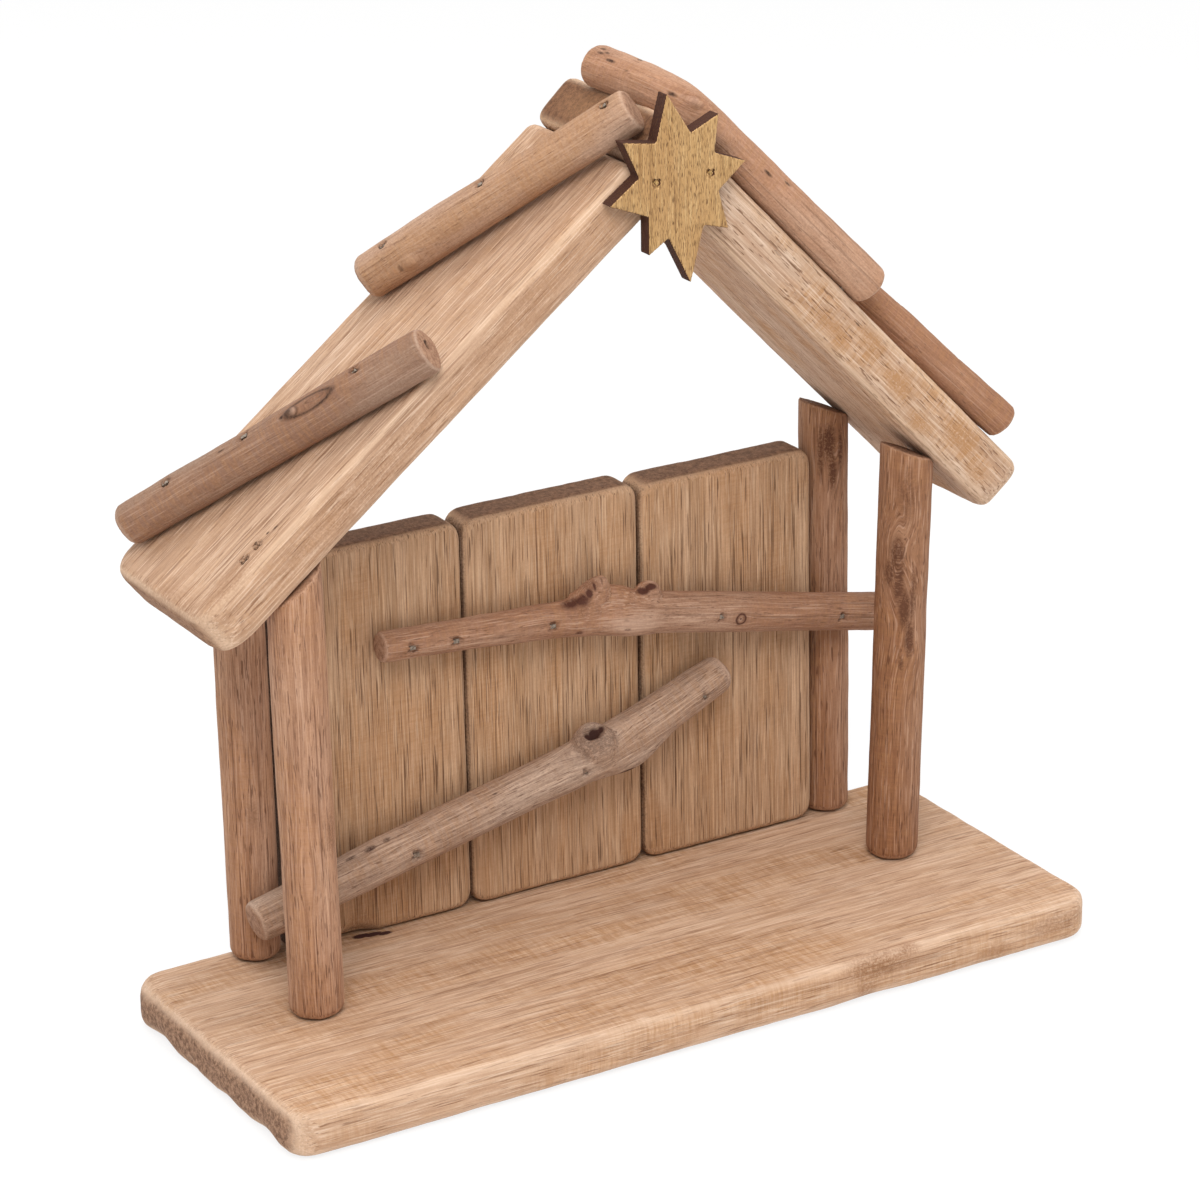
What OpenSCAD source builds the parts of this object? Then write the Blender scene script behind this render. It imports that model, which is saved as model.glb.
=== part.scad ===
// Tabletop nativity stable: a base board, four round posts, a back wall of three planks,
// two roof boards with branches laid across them, two branches on the wall and a star.
// The origin lies under the middle of the base board, X to the right and Y to the back.

/* [Base board] */
// Width of the base board, left to right
base_w = 283; // [264:1:316]
// Depth of the base board, front to back
base_d = 113.5; // [104:1:150]
// Thickness of the base board
base_t = 15; // [10:0.5:22]
// Corner radius at the front left, seen from above
base_corner_front_left = 6; // [3:0.5:14]
// Corner radius at the front right, seen from above
base_corner_front_right = 7; // [3:0.5:14]
// Corner radius at both back corners, seen from above
base_corner_back = 10; // [3:0.5:14]
// Rounding of the sanded edges
base_edge = 3.4; // [0.5:0.1:5]

/* [Back wall] */
// Distance from the left end of the base board to the wall
wall_inset_left = 49; // [44:0.5:56]
// Distance from the right end of the base board to the wall
wall_inset_right = 42.6; // [38:0.2:52]
// Distance from the back of the base board to the back of the wall
wall_setback = 1.7; // [0:0.1:3]
// Thickness of the wall planks
plank_t = 14; // [8:0.5:18]
// Share of the wall's width that the left plank takes
plank_left_share = 0.335; // [0.3:0.005:0.37]
// Share of the wall's width that the middle plank takes
plank_middle_share = 0.327; // [0.3:0.001:0.37]
// Height of the left plank
plank_left_h = 129.2; // [90:0.2:134]
// Height of the middle plank
plank_middle_h = 129.2; // [90:0.2:150]
// Height of the right plank
plank_right_h = 128.2; // [90:0.2:134]
// Corner radius of the planks, seen from the front
plank_corner = 5; // [2:0.5:8]
// Rounding of the planks' long edges
plank_edge = 2.6; // [0.5:0.1:4]
// Seam between two planks
plank_seam = 0.4; // [0.1:0.1:1.5]

/* [Posts] */
// Diameter of the front posts
front_post_d = 17; // [12:0.5:20]
// Diameter of the back posts
back_post_d = 16.2; // [12:0.5:20]
// Distance from the left end of the base board to the front left post's axis
front_left_inset = 38.1; // [25:0.2:48]
// Distance from the right end of the base board to the front right post's axis
front_right_inset = 36.1; // [25:0.2:48]
// Distance from the back of the base board to the front left post's axis
front_left_from_back = 53.9; // [44:0.2:60]
// Distance from the back of the base board to the front right post's axis
front_right_from_back = 51.7; // [44:0.2:60]
// How far the back posts stand proud of the wall's face
back_post_proud = 1.2; // [0:0.1:2]
// Seam between the wall and the back post at its left
wall_left_seam = 0.8; // [0.2:0.1:2]
// Seam between the wall and the back post at its right
wall_right_seam = 0.5; // [0.2:0.1:2]
// Rounding of the posts' feet
foot_round = 1.8; // [0.5:0.1:3]
// Sideways lean of the front left post, to the right if above zero
front_left_lean = -0.5; // [-2:0.1:2]
// Sideways lean of the front right post, to the right if above zero
front_right_lean = 2.1; // [-2:0.1:3]
// Slope of the front right post's sawn top
front_right_top_slope = 24; // [15:1:40]
// Slope of the back right post's sawn top
back_right_top_slope = 27; // [15:1:40]

/* [Roof boards] */
// Slope of the left roof board
left_slope = 37.7; // [30:0.1:45]
// Slope of the right roof board
right_slope = 46.5; // [40:0.1:52]
// Height of the left board's underside over the base board, at the front left post
left_rise = 139; // [136:0.2:160]
// Height of the right board's underside over the base board, at the front right post
right_rise = 139; // [136:0.2:160]
// How far the left roof board runs out past the top of the front left post, seen from the front
left_overhang = 24.5; // [18:0.5:32]
// How far the right roof board runs out past the top of the front right post, seen from the front
right_overhang = 26.4; // [18:0.2:34]
// Thickness of the left roof board
left_board_t = 16.8; // [12:0.5:18]
// Thickness of the right roof board
right_board_t = 18; // [12:0.5:20]
// Depth of both roof boards, front to back
roof_d = 60.5; // [56:0.5:70]
// Corner radius of the roof boards, seen from above
roof_corner = 6.5; // [2:0.5:8]
// Rounding of the roof boards' edges
roof_edge = 3.2; // [0.5:0.1:4]

/* [Roof branches] */
// Diameter of the lower branch on the left board, at its lower end
left_lower_d = 13.4; // [11:0.2:15]
// Diameter of the same branch at its upper end
left_lower_end_d = 14.4; // [12:0.2:16]
// Diameter of the upper branch on the left board
left_upper_d = 14; // [12:0.2:14.2]
// Length of the lower branch on the left board
left_lower_l = 109.5; // [90:1:120]
// Skew of the lower branch on the left board
left_lower_skew = 31.5; // [26:0.5:36]
// Distance from the left board's lower end to that branch's end
left_lower_from_eave = 10.9; // [4:0.2:16]
// Distance from the left board's back to that branch's end
left_lower_from_back = 3.7; // [-2:0.1:6]
// Length of the upper branch on the left board
left_upper_l = 97.5; // [80:1:104]
// Skew of the upper branch on the left board
left_upper_skew = 29.5; // [24:0.5:34]
// How far that branch runs past the left board's upper end
left_upper_overrun = 12; // [6:0.2:13]
// Distance from the roof's front to that branch's upper end
left_upper_from_front = 5.9; // [5.6:0.1:9]
// Diameter of the bent branch over the ridge
bent_branch_d = 13.2; // [11:0.2:14]
// Diameter of the lower branch on the right board
right_lower_d = 12; // [10:0.2:14]
// Length of the lower branch on the right board
right_lower_l = 67.5; // [55:0.5:72]
// Skew of the lower branch on the right board
right_lower_skew = 14; // [6:0.5:18]
// Distance from the right board's lower end to that branch's end
right_lower_from_eave = 16.8; // [8:0.2:18]
// Distance from the roof's front to that branch's lower end
right_lower_from_front = 3.4; // [1:0.2:6]
// Distance from the ridge to the bent branch's lower end, along the board
bent_branch_reach = 97.3; // [90:0.5:100]

/* [Wall branches] */
// Diameter of the upper branch on the wall, at its thickest
rail_d = 13.6; // [10:0.2:15]
// Place of the upper branch's kink as a share of the wall's width
rail_kink_share = 0.575; // [0.52:0.005:0.63]
// Height of the upper branch's kink over the base board
rail_kink_h = 92; // [84:0.5:98]
// Length of the upper branch's left limb
rail_left_l = 78.6; // [60:0.2:90]
// Tilt of the upper branch's left limb
rail_left_tilt = 3.4; // [0:0.1:8]
// How far the upper branch runs past the wall's right end
rail_overrun = 22.7; // [17:0.1:28]
// Tilt of the upper branch's right limb
rail_right_tilt = 11.9; // [8:0.1:16]
// Diameter of the lower branch on the wall, at its thickest
brace_d = 14.8; // [11:0.2:16]
// Place of the lower branch's kink as a share of the wall's width
brace_kink_share = 0.601; // [0.54:0.001:0.65]
// Height of the lower branch's kink over the base board
brace_kink_h = 47.6; // [40:0.2:52]
// How far the lower branch runs past the wall's left end
brace_overrun = 16.3; // [12:0.1:20]
// Tilt of the lower branch's left limb
brace_left_tilt = 12.6; // [8:0.1:14]
// Length of the lower branch's right limb
brace_right_l = 41.5; // [30:0.5:46]
// Tilt of the lower branch's right limb
brace_right_tilt = 22; // [16:0.5:28]

/* [Star] */
// Thickness of the star
star_t = 5; // [3:0.2:7]
// Length of the star's upright upper ray
star_up = 28.4; // [24:0.2:34]
// Length of the star's lower ray
star_down = 30.8; // [24:0.2:36]
// Length of the other six rays
star_ray = 23.6; // [18:0.2:28]
// Distance from the star's middle to the notches beside its long rays
star_waist = 15.8; // [12:0.2:18]
// Distance from the star's middle to its other notches
star_notch = 14.2; // [11:0.2:17]
// Width of the blunt tips
star_tip_w = 2.2; // [0.8:0.1:3]
// Angle by which the star is turned to the left
star_turn_angle = 8.3; // [0:0.1:15]
// Distance from the ridge to the star's middle, to the right
star_right_of_ridge = 0.5; // [-3:0.1:3]
// Distance from the underside of the ridge up to the star's middle
star_over_ridge = 5; // [0:0.1:8]

/* [Brads and nails] */
// Width of a brad's head
brad_head_w = 2; // [1.4:0.1:2.4]
// Depth of a brad's head and width of its shank
brad_w = 1.25; // [0.8:0.05:1.4]
// Thickness of a brad's head
brad_head_t = 0.6; // [0.3:0.1:1]
// Depth of a brad's head under the wood's surface
brad_sink = 0.5; // [0.2:0.1:1]
// Length of the brads in the branches
branch_brad_l = 24; // [22:0.5:26]
// Length of the brads that hold the roof boards to the posts
roof_brad_l = 28; // [26:0.5:30]
// Length of the brads that hold the roof boards together
ridge_brad_l = 34; // [30:0.5:38]
// Length of the brads in the star
star_brad_l = 18; // [12:0.5:20]
// Diameter of the nails under the base board
nail_d = 2; // [1.2:0.1:3]
// Diameter of their heads
nail_head_d = 4.4; // [3.2:0.1:6]
// Length of the nails that hold the posts
post_nail_l = 28; // [22:1:30]
// Length of the nails that hold the planks
plank_nail_l = 32; // [26:1:40]

/* [Hidden] */
$fn = 72;
// How far every cut runs past the wood that it opens
cut_over = 40;
// Clearance between a part and what it is seated on
seat = 0.15;
// Clearance round brads and nails
fit = 0.05;

// Base board
base_back = base_d / 2;
base_left = -base_w / 2;
base_right = base_w / 2;

// Back wall
wall_left = base_left + wall_inset_left;
wall_right = base_right - wall_inset_right;
wall_w = wall_right - wall_left;
wall_back = base_back - wall_setback;
wall_face = wall_back - plank_t;
plank_left_w = wall_w * plank_left_share;
plank_middle_w = wall_w * plank_middle_share;
plank_middle_x = wall_left + plank_left_w + plank_seam;
plank_right_x = plank_middle_x + plank_middle_w + plank_seam;
plank_right_w = wall_right - plank_right_x;

// Posts: the back ones stand beside the wall, the front ones half way down the base board
back_post_y = wall_face - back_post_proud + back_post_d / 2;
back_post_face = back_post_y - back_post_d / 2;
front_left_y = base_back - front_left_from_back;
front_right_y = base_back - front_right_from_back;
front_left_x = base_left + front_left_inset;
front_right_x = base_right - front_right_inset;
back_left_x = wall_left - wall_left_seam - back_post_d / 2;
back_right_x = wall_right + wall_right_seam + back_post_d / 2;

// Roof: both undersides are set by their height over the front posts and meet at the ridge
roof_back = back_post_y + back_post_d / 2;
roof_front = roof_back - roof_d;
left_post_top_x = front_left_x + left_rise * tan(front_left_lean);
right_post_top_x = front_right_x + right_rise * tan(front_right_lean);
slopes = left_slope + right_slope;
ridge_x = (right_rise - left_rise + left_post_top_x * tan(left_slope)
    + right_post_top_x * tan(right_slope)) / (tan(left_slope) + tan(right_slope));
ridge_z = base_t + left_rise + (ridge_x - left_post_top_x) * tan(left_slope);
// The right board caps the left board's end, so its own end is flush with the left board's top
right_past_ridge = left_board_t / sin(slopes);
left_short_of_ridge = left_board_t * abs(cos(slopes)) / sin(slopes) + seat;
left_eave_x = left_post_top_x - left_overhang;
right_eave_x = right_post_top_x + right_overhang;
left_board_l = (ridge_x - left_eave_x) / cos(left_slope) - left_short_of_ridge;
right_board_l = (right_eave_x - ridge_x) / cos(right_slope) + right_past_ridge;

// Branch ends
branch_round = 3;
left_upper_lift = 1.5;

// Bent branch over the ridge, measured in the right board's frame: past the ridge end,
// from the roof's front and over the board's top
bent_start_past = 2.8;
bent_start_in = 45.4;
bent_start_up = 4;
bent_kink_past = -2.5;
bent_kink_in = 9;
bent_kink_up = 6.5;
bent_end_in = 3.6;

// Wall branches: shares of the thickest diameter at the start, kink and end
rail_size_shares = [0.72, 0.94, 0.88];
brace_size_shares = [0.92, 1, 0.85];
bent_size_shares = [1.03, 0.97, 1];
// Knots as [share of the length, angle round the branch, height share, width share of the diameter]
rail_knot_shares = [[0.405, 95, 0.74, 0.55], [0.515, 80, 0.42, 0.35], [0.69, 90, 0.1, 0.3]];
brace_knot_shares = [[0.66, 320, 0.2, 0.5], [0.8, 105, 0.5, 0.6]];
bent_knot_shares = [[0.28, 135, 0.14, 1.2]];
// How far the bend at each kink is eased into the limbs
rail_ease = 24;
brace_ease = 16;
bent_ease = 17;
// How far apart two points of a path are taken to find its direction
near_share = 0.01;

// Brads as shares along each branch
left_lower_brad_shares = [0.18, 0.44, 0.8];
left_upper_brad_shares = [0.12, 0.48, 0.93];
right_lower_brad_shares = [0.38, 0.8];
bent_brad_shares = [0.14, 0.66, 0.94];
bent_brad_tilts = [24, 0, 0];
rail_brad_shares = [0.05, 0.13, 0.31, 0.64, 0.89];
brace_brad_shares = [0.05, 0.31, 0.66, 0.93];
post_brad_inset = 1;
post_brad_apart = 4.4;
right_brad_out = 6.5;
ridge_brad_inset = 20;
star_brad_left = 7.6;
star_brad_right = 10.9;
star_brad_rise = 1.5;
nail_head_t = 0.8;
nail_recess = 0.3;
plank_nail_share = 0.25;

// Places of the nails under the base board
function plank_nail_places() = [
    for (p = [[wall_left, plank_left_w], [plank_middle_x, plank_middle_w], [plank_right_x, plank_right_w]])
        for (s = [plank_nail_share, 1 - plank_nail_share])
            [p[0] + s * p[1], wall_back - plank_t / 2, nail_recess]
];
function post_nail_places() = [
    for (p = [[front_left_x, front_left_y], [front_right_x, front_right_y],
            [back_left_x, back_post_y], [back_right_x, back_post_y]])
        [p[0], p[1], nail_recess]
];

// Rectangle with its first corner at the origin and its own radius at each corner
module round_rect(w, d, r) {
    polygon([
        [r[0], 0], [w - r[1], 0], [w, r[1]], [w, d - r[2]],
        [w - r[2], d], [r[3], d], [0, d - r[3]], [0, r[0]],
    ]);
    translate([r[0], r[0]]) circle(r[0]);
    translate([w - r[1], r[1]]) circle(r[1]);
    translate([w - r[2], d - r[2]]) circle(r[2]);
    translate([r[3], d - r[3]]) circle(r[3]);
}

// Sanded board lying flat: rounded corners seen from above and rounded edges all round
module board(l, d, t, corners, edge) {
    edges = [edge, edge, edge, edge];
    intersection() {
        linear_extrude(t) round_rect(l, d, corners);
        translate([0, d, 0]) rotate([90, 0, 0]) linear_extrude(d) round_rect(l, t, edges);
        rotate([90, 0, 90]) linear_extrude(l) round_rect(d, t, edges);
    }
}

// Frames of the roof boards: X up the slope from the eave, Y to the back, Z off the underside
module left_roof_frame() {
    translate([left_eave_x, roof_front, ridge_z - (ridge_x - left_eave_x) * tan(left_slope)])
        rotate([0, -left_slope, 0]) children();
}
module right_roof_frame() {
    translate([right_eave_x, roof_front, ridge_z - (right_eave_x - ridge_x) * tan(right_slope)])
        mirror([1, 0, 0]) rotate([0, -right_slope, 0]) children();
}

// Space above the left roof board's underside
module over_left_underside() {
    left_roof_frame() translate([-cut_over, -cut_over, -seat])
        cube([left_board_l + 2 * cut_over, roof_d + 2 * cut_over, cut_over]);
}

// Quarter circle as points, for the rounded ends of turned profiles
function quarter(cx, cy, r, from) = [for (a = [0:15:90]) [cx + r * cos(from + a), cy + r * sin(from + a)]];

// Round post standing on the base board, leaning sideways about its foot
module post_blank(d, x, y, lean, h) {
    sink = d / 2 * abs(sin(lean));
    difference() {
        translate([x, y, base_t - sink]) rotate([0, lean, 0]) rotate_extrude() polygon(concat(
            [[0, 0]],
            quarter(d / 2 - foot_round, foot_round, foot_round, -90),
            [[d / 2, h], [0, h]]
        ));
        translate([x - d, y - d, base_t - cut_over]) cube([2 * d, 2 * d, cut_over + seat / 3]);
    }
}

// Post under the right roof board, sawn at a slope of its own, so it meets the board at its outer side
module right_post(d, x, y, lean, slope) {
    top_x = x + right_rise * tan(lean) + d / 2;
    top_z = ridge_z - (top_x - ridge_x) * tan(right_slope) - seat / cos(right_slope);
    difference() {
        post_blank(d, x, y, lean, right_rise + cut_over);
        translate([top_x, y - d, top_z]) mirror([1, 0, 0]) rotate([0, -slope, 0])
            translate([-cut_over, 0, 0]) cube([2 * cut_over, 2 * d, 2 * cut_over]);
    }
}

// Straight branch lying on the plane z = 0 along X, tapering from its start to its end
module stick(l, d_start, d_end) {
    rise = atan((d_end - d_start) / (2 * l));
    translate([0, 0, d_start / 2]) rotate([0, 90 - rise, 0]) rotate_extrude() polygon(concat(
        [[0, 0]],
        quarter(d_start / 2 - branch_round, branch_round, branch_round, -90),
        quarter(d_end / 2 - branch_round, l - branch_round, branch_round, 0),
        [[0, l]]
    ));
}

// Bent branches: a path of start, kink and end with the ease of its bend, swept with rings whose
// radius changes along the branch and swells at its knots
function blend(a, b, t) = a + (b - a) * t;
function unit(v) = v / norm(v);
function bend_curve(a, k, b, t) = blend(blend(a, k, t), blend(k, b, t), t);
function limb_point(p, s) =
    let (l = limb_length(p), kink = norm(p[1] - p[0]), ease = p[3])
    let (in = unit(p[1] - p[0]), out = unit(p[2] - p[1]))
    s * l < kink - ease ? p[0] + s * l * in :
    s * l > kink + ease ? p[2] - (1 - s) * l * out :
    bend_curve(p[1] - ease * in, p[1], p[1] + ease * out, (s * l - kink + ease) / (2 * ease));
function limb_way(p, s) =
    unit(limb_point(p, min(1, s + near_share)) - limb_point(p, max(0, s - near_share)));
function limb_size(d, s) = s < 0.5 ? blend(d[0], d[1], 2 * s) : blend(d[1], d[2], 2 * s - 1);
function limb_length(p) = norm(p[1] - p[0]) + norm(p[2] - p[1]);
function knot_swell(knots, d, l, s, turn) = 1 + (len(knots) == 0 ? 0 : max([
    for (k = knots) k[2] * exp(-pow((s - k[0]) * l / (k[3] * d), 2)) * pow(max(0, cos(turn - k[1])), 2)
]));

module limb(p, d, knots) {
    sides = 20;
    steps = 30;
    l = limb_length(p);
    across = unit(cross(p[1] - p[0], p[2] - p[1]));
    stations = concat(
        [for (a = [0:30:60]) [branch_round * (1 - cos(a)) / l, branch_round * (1 - sin(a))]],
        [for (i = [1:steps - 1]) [i / steps, 0]],
        [for (a = [60:-30:0]) [1 - branch_round * (1 - cos(a)) / l, branch_round * (1 - sin(a))]]
    );
    points = [
        for (st = stations)
            let (c = limb_point(p, st[0]), w = limb_way(p, st[0]), side = cross(w, across))
            for (j = [0:sides - 1])
                let (turn = j * 360 / sides)
                let (r = limb_size(d, st[0]) / 2 * knot_swell(knots, d[1], l, st[0], turn) - st[1])
                c + r * (cos(turn) * across + sin(turn) * side)
    ];
    last = (len(stations) - 1) * sides;
    walls = [
        for (i = [0:len(stations) - 2]) for (j = [0:sides - 1])
            let (k = (j + 1) % sides, a = i * sides, b = a + sides)
            for (t = [[a + j, b + j, b + k], [a + j, b + k, a + k]]) t
    ];
    polyhedron(points, concat(
        [[for (j = [0:sides - 1]) j]], walls, [[for (j = [sides - 1:-1:0]) last + j]]
    ));
}

// Paths of the three bent branches as start, kink and end
rail_sizes = rail_d * rail_size_shares;
rail_kink = [wall_left + rail_kink_share * wall_w, wall_face - seat - rail_sizes[1] / 2, base_t + rail_kink_h];
rail_run = wall_right + rail_overrun - rail_kink.x;
rail_path = [
    [rail_kink.x - rail_left_l * cos(rail_left_tilt), wall_face - seat - rail_sizes[0] / 2,
        rail_kink.z + rail_left_l * sin(rail_left_tilt)],
    rail_kink,
    [wall_right + rail_overrun, back_post_face - seat - rail_sizes[2] / 2,
        rail_kink.z - rail_run * tan(rail_right_tilt)],
    rail_ease,
];
brace_sizes = brace_d * brace_size_shares;
brace_kink = [wall_left + brace_kink_share * wall_w, wall_face - seat - brace_sizes[1] / 2, base_t + brace_kink_h];
brace_run = brace_kink.x - wall_left + brace_overrun;
brace_path = [
    [wall_left - brace_overrun, back_post_face - seat - brace_sizes[0] / 2,
        brace_kink.z - brace_run * tan(brace_left_tilt)],
    brace_kink,
    [brace_kink.x + brace_right_l * cos(brace_right_tilt), wall_face - seat - brace_sizes[2] / 2,
        brace_kink.z + brace_right_l * sin(brace_right_tilt)],
    brace_ease,
];
bent_sizes = bent_branch_d * bent_size_shares;
bent_path = [
    [right_board_l + bent_start_past, bent_start_in, right_board_t + bent_start_up],
    [right_board_l + bent_kink_past, bent_kink_in, right_board_t + bent_kink_up],
    [right_board_l - bent_branch_reach, bent_end_in, right_board_t + seat + bent_sizes[2] / 2],
    bent_ease,
];

// Brad pointing down with its head's top at the origin, and the pocket that it sits in
module brad(l, grow = 0) {
    translate([-brad_head_w / 2 - grow, -brad_w / 2 - grow, -brad_head_t - grow])
        cube([brad_head_w + 2 * grow, brad_w + 2 * grow, brad_head_t + grow]);
    translate([-brad_w / 2 - grow, -brad_w / 2 - grow, -l - grow])
        cube([brad_w + 2 * grow, brad_w + 2 * grow, l + grow]);
}
module brad_pocket(l) {
    brad(l, fit);
    translate([-brad_head_w / 2 - fit, -brad_w / 2 - fit, 0])
        cube([brad_head_w + 2 * fit, brad_w + 2 * fit, 2 * brad_head_w]);
}
module brad_or_pocket(l, pocket) {
    if (pocket) brad_pocket(l);
    else brad(l);
}

// Nail pointing up with its head's underside at the origin, and its pocket
module nail_or_pocket(l, pocket) {
    grow = pocket ? fit : 0;
    drop = pocket ? cut_over : 0;
    cylinder(d = nail_d + 2 * grow, h = l + grow);
    translate([0, 0, -drop]) cylinder(d = nail_head_d + 2 * grow, h = nail_head_t + grow + drop);
}

module post_nail_set(pocket) {
    for (p = post_nail_places()) translate(p) nail_or_pocket(post_nail_l, pocket);
}
module plank_nail_set(pocket) {
    for (p = plank_nail_places()) translate(p) nail_or_pocket(plank_nail_l, pocket);
}

// Two brads through a roof board into the top of each post, square to the board
module left_roof_brad_set(pocket) {
    left_roof_frame() for (p = [[left_post_top_x, front_left_y], [back_left_x, back_post_y]])
        for (in = [post_brad_inset, post_brad_inset + post_brad_apart])
            translate([
                (p[0] - in - left_eave_x) / cos(left_slope),
                p[1] - roof_front, left_board_t - brad_sink,
            ]) brad_or_pocket(roof_brad_l, pocket);
}
module right_roof_brad_set(pocket) {
    right_roof_frame() for (p = [[right_post_top_x, front_right_y], [back_right_x, back_post_y]])
        for (side = [-post_brad_apart / 2, post_brad_apart / 2])
            translate([
                (right_eave_x - p[0] - right_brad_out) / cos(right_slope),
                p[1] - roof_front + side, right_board_t - brad_sink,
            ]) brad_or_pocket(roof_brad_l, pocket);
}
// Two brads through the right board's upper end into the left board's end
module ridge_brad_set(pocket) {
    right_roof_frame() for (y = [ridge_brad_inset, roof_d - ridge_brad_inset])
        translate([right_board_l - left_board_t / 2, y, right_board_t - brad_sink])
            brad_or_pocket(ridge_brad_l, pocket);
}

// Places of the straight roof branches, each lying along X from its lower end
module at_left_lower() {
    left_roof_frame()
        translate([left_lower_from_eave, roof_d - left_lower_from_back, left_board_t + seat])
            rotate([0, 0, -left_lower_skew]) children();
}
module at_left_upper() {
    left_roof_frame()
        translate([
            left_board_l + left_upper_overrun, left_upper_from_front,
            left_board_t + seat + left_upper_lift,
        ]) rotate([0, 0, -left_upper_skew]) rotate([0, -atan(left_upper_lift / left_upper_l), 0])
            translate([-left_upper_l, 0, 0]) children();
}
module at_right_lower() {
    right_roof_frame()
        translate([right_lower_from_eave, right_lower_from_front, right_board_t + seat])
            rotate([0, 0, right_lower_skew]) children();
}

// Brads along a straight branch, from its top down into the roof board
module stick_brads(shares, l, d_start, d_end, pocket) {
    for (s = shares)
        translate([s * l, 0, blend(d_start, d_end, s) - brad_sink])
            brad_or_pocket(branch_brad_l, pocket);
}
module left_lower_brad_set(pocket) {
    at_left_lower()
        stick_brads(left_lower_brad_shares, left_lower_l, left_lower_d, left_lower_end_d, pocket);
}
module left_upper_brad_set(pocket) {
    at_left_upper()
        stick_brads(left_upper_brad_shares, left_upper_l, left_upper_d, left_upper_d, pocket);
}
module right_lower_brad_set(pocket) {
    at_right_lower()
        stick_brads(right_lower_brad_shares, right_lower_l, right_lower_d, right_lower_d, pocket);
}
module bent_brad_set(pocket) {
    right_roof_frame() for (i = [0:len(bent_brad_shares) - 1]) {
        s = bent_brad_shares[i];
        translate(limb_point(bent_path, s)) rotate([0, bent_brad_tilts[i], 0])
            translate([0, 0, limb_size(bent_sizes, s) / 2 - brad_sink])
                brad_or_pocket(branch_brad_l, pocket);
    }
}

// Brads along a wall branch, from its front into the wall
module wall_branch_brads(path, sizes, shares, pocket) {
    for (s = shares) translate(limb_point(path, s)) rotate([90, 0, 0])
        translate([0, 0, limb_size(sizes, s) / 2 - brad_sink]) brad_or_pocket(branch_brad_l, pocket);
}
module rail_brad_set(pocket) {
    wall_branch_brads(rail_path, rail_sizes, rail_brad_shares, pocket);
}
module brace_brad_set(pocket) {
    wall_branch_brads(brace_path, brace_sizes, brace_brad_shares, pocket);
}

// Star: its middle, face plane and outline
star_x = ridge_x + star_right_of_ridge;
star_z = ridge_z + star_over_ridge;
star_back = roof_front - seat;
star_splay_angle = 8;
// Rays as [angle, length] and the notch that follows each, going round to the left from the top
star_rays = [
    [90, star_up], [135, star_ray], [180, star_ray], [225 + star_splay_angle, star_ray],
    [270, star_down], [315 - star_splay_angle, star_ray], [0, star_ray], [45, star_ray],
];
star_notches = [
    star_waist, star_notch, star_notch, star_waist,
    star_waist, star_notch, star_notch, star_waist,
];
function star_outline() = [
    for (i = [0:7])
        let (a = star_rays[i][0] + star_turn_angle, l = star_rays[i][1], n = 112.5 + 45 * i + star_turn_angle)
        let (tip = l * [cos(a), sin(a)], half = star_tip_w / 2 * [-sin(a), cos(a)])
        for (p = [tip - half, tip + half, star_notches[i] * [cos(n), sin(n)]]) p
];
module star_brad_set(pocket) {
    for (x = [-star_brad_left, star_brad_right])
        translate([star_x + x, star_back - star_t, star_z + star_brad_rise]) rotate([90, 0, 0])
            translate([0, 0, -brad_sink]) rotate([0, 0, 90]) brad_or_pocket(star_brad_l, pocket);
}

// The wooden parts
module base_board() {
    color("burlywood") difference() {
        translate([base_left, -base_back, 0]) board(base_w, base_d, base_t, [
            base_corner_front_left, base_corner_front_right, base_corner_back, base_corner_back,
        ], base_edge);
        post_nail_set(true);
        plank_nail_set(true);
    }
}
module post_front_left() {
    color("rosybrown") difference() {
        post_blank(front_post_d, front_left_x, front_left_y, front_left_lean, left_rise + cut_over);
        over_left_underside();
        post_nail_set(true);
        left_roof_brad_set(true);
    }
}
module post_back_left() {
    color("rosybrown") difference() {
        post_blank(back_post_d, back_left_x, back_post_y, 0, left_rise + cut_over);
        over_left_underside();
        post_nail_set(true);
        left_roof_brad_set(true);
        brace_brad_set(true);
    }
}
module post_front_right() {
    color("rosybrown") difference() {
        right_post(front_post_d, front_right_x, front_right_y, front_right_lean, front_right_top_slope);
        post_nail_set(true);
        right_roof_brad_set(true);
    }
}
module post_back_right() {
    color("rosybrown") difference() {
        right_post(back_post_d, back_right_x, back_post_y, 0, back_right_top_slope);
        post_nail_set(true);
        right_roof_brad_set(true);
        rail_brad_set(true);
    }
}
module wall_plank(x, w, h) {
    color("tan") difference() {
        translate([x, wall_back, base_t + seat / 3]) rotate([90, 0, 0])
            board(w, h, plank_t, [plank_corner, plank_corner, plank_corner, plank_corner], plank_edge);
        plank_nail_set(true);
        rail_brad_set(true);
        brace_brad_set(true);
    }
}
module wall_plank_left() {
    wall_plank(wall_left, plank_left_w, plank_left_h);
}
module wall_plank_middle() {
    wall_plank(plank_middle_x, plank_middle_w, plank_middle_h);
}
module wall_plank_right() {
    wall_plank(plank_right_x, plank_right_w, plank_right_h);
}
module roof_board_left() {
    color("burlywood") difference() {
        left_roof_frame()
            board(left_board_l, roof_d, left_board_t,
                [roof_corner, roof_edge, roof_edge, roof_corner], roof_edge);
        left_roof_brad_set(true);
        ridge_brad_set(true);
        left_lower_brad_set(true);
        left_upper_brad_set(true);
        star_brad_set(true);
    }
}
module roof_board_right() {
    color("burlywood") difference() {
        right_roof_frame()
            board(right_board_l, roof_d, right_board_t,
                [roof_corner, roof_edge, roof_edge, roof_corner], roof_edge);
        right_roof_brad_set(true);
        ridge_brad_set(true);
        left_upper_brad_set(true);
        right_lower_brad_set(true);
        bent_brad_set(true);
        star_brad_set(true);
    }
}
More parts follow.
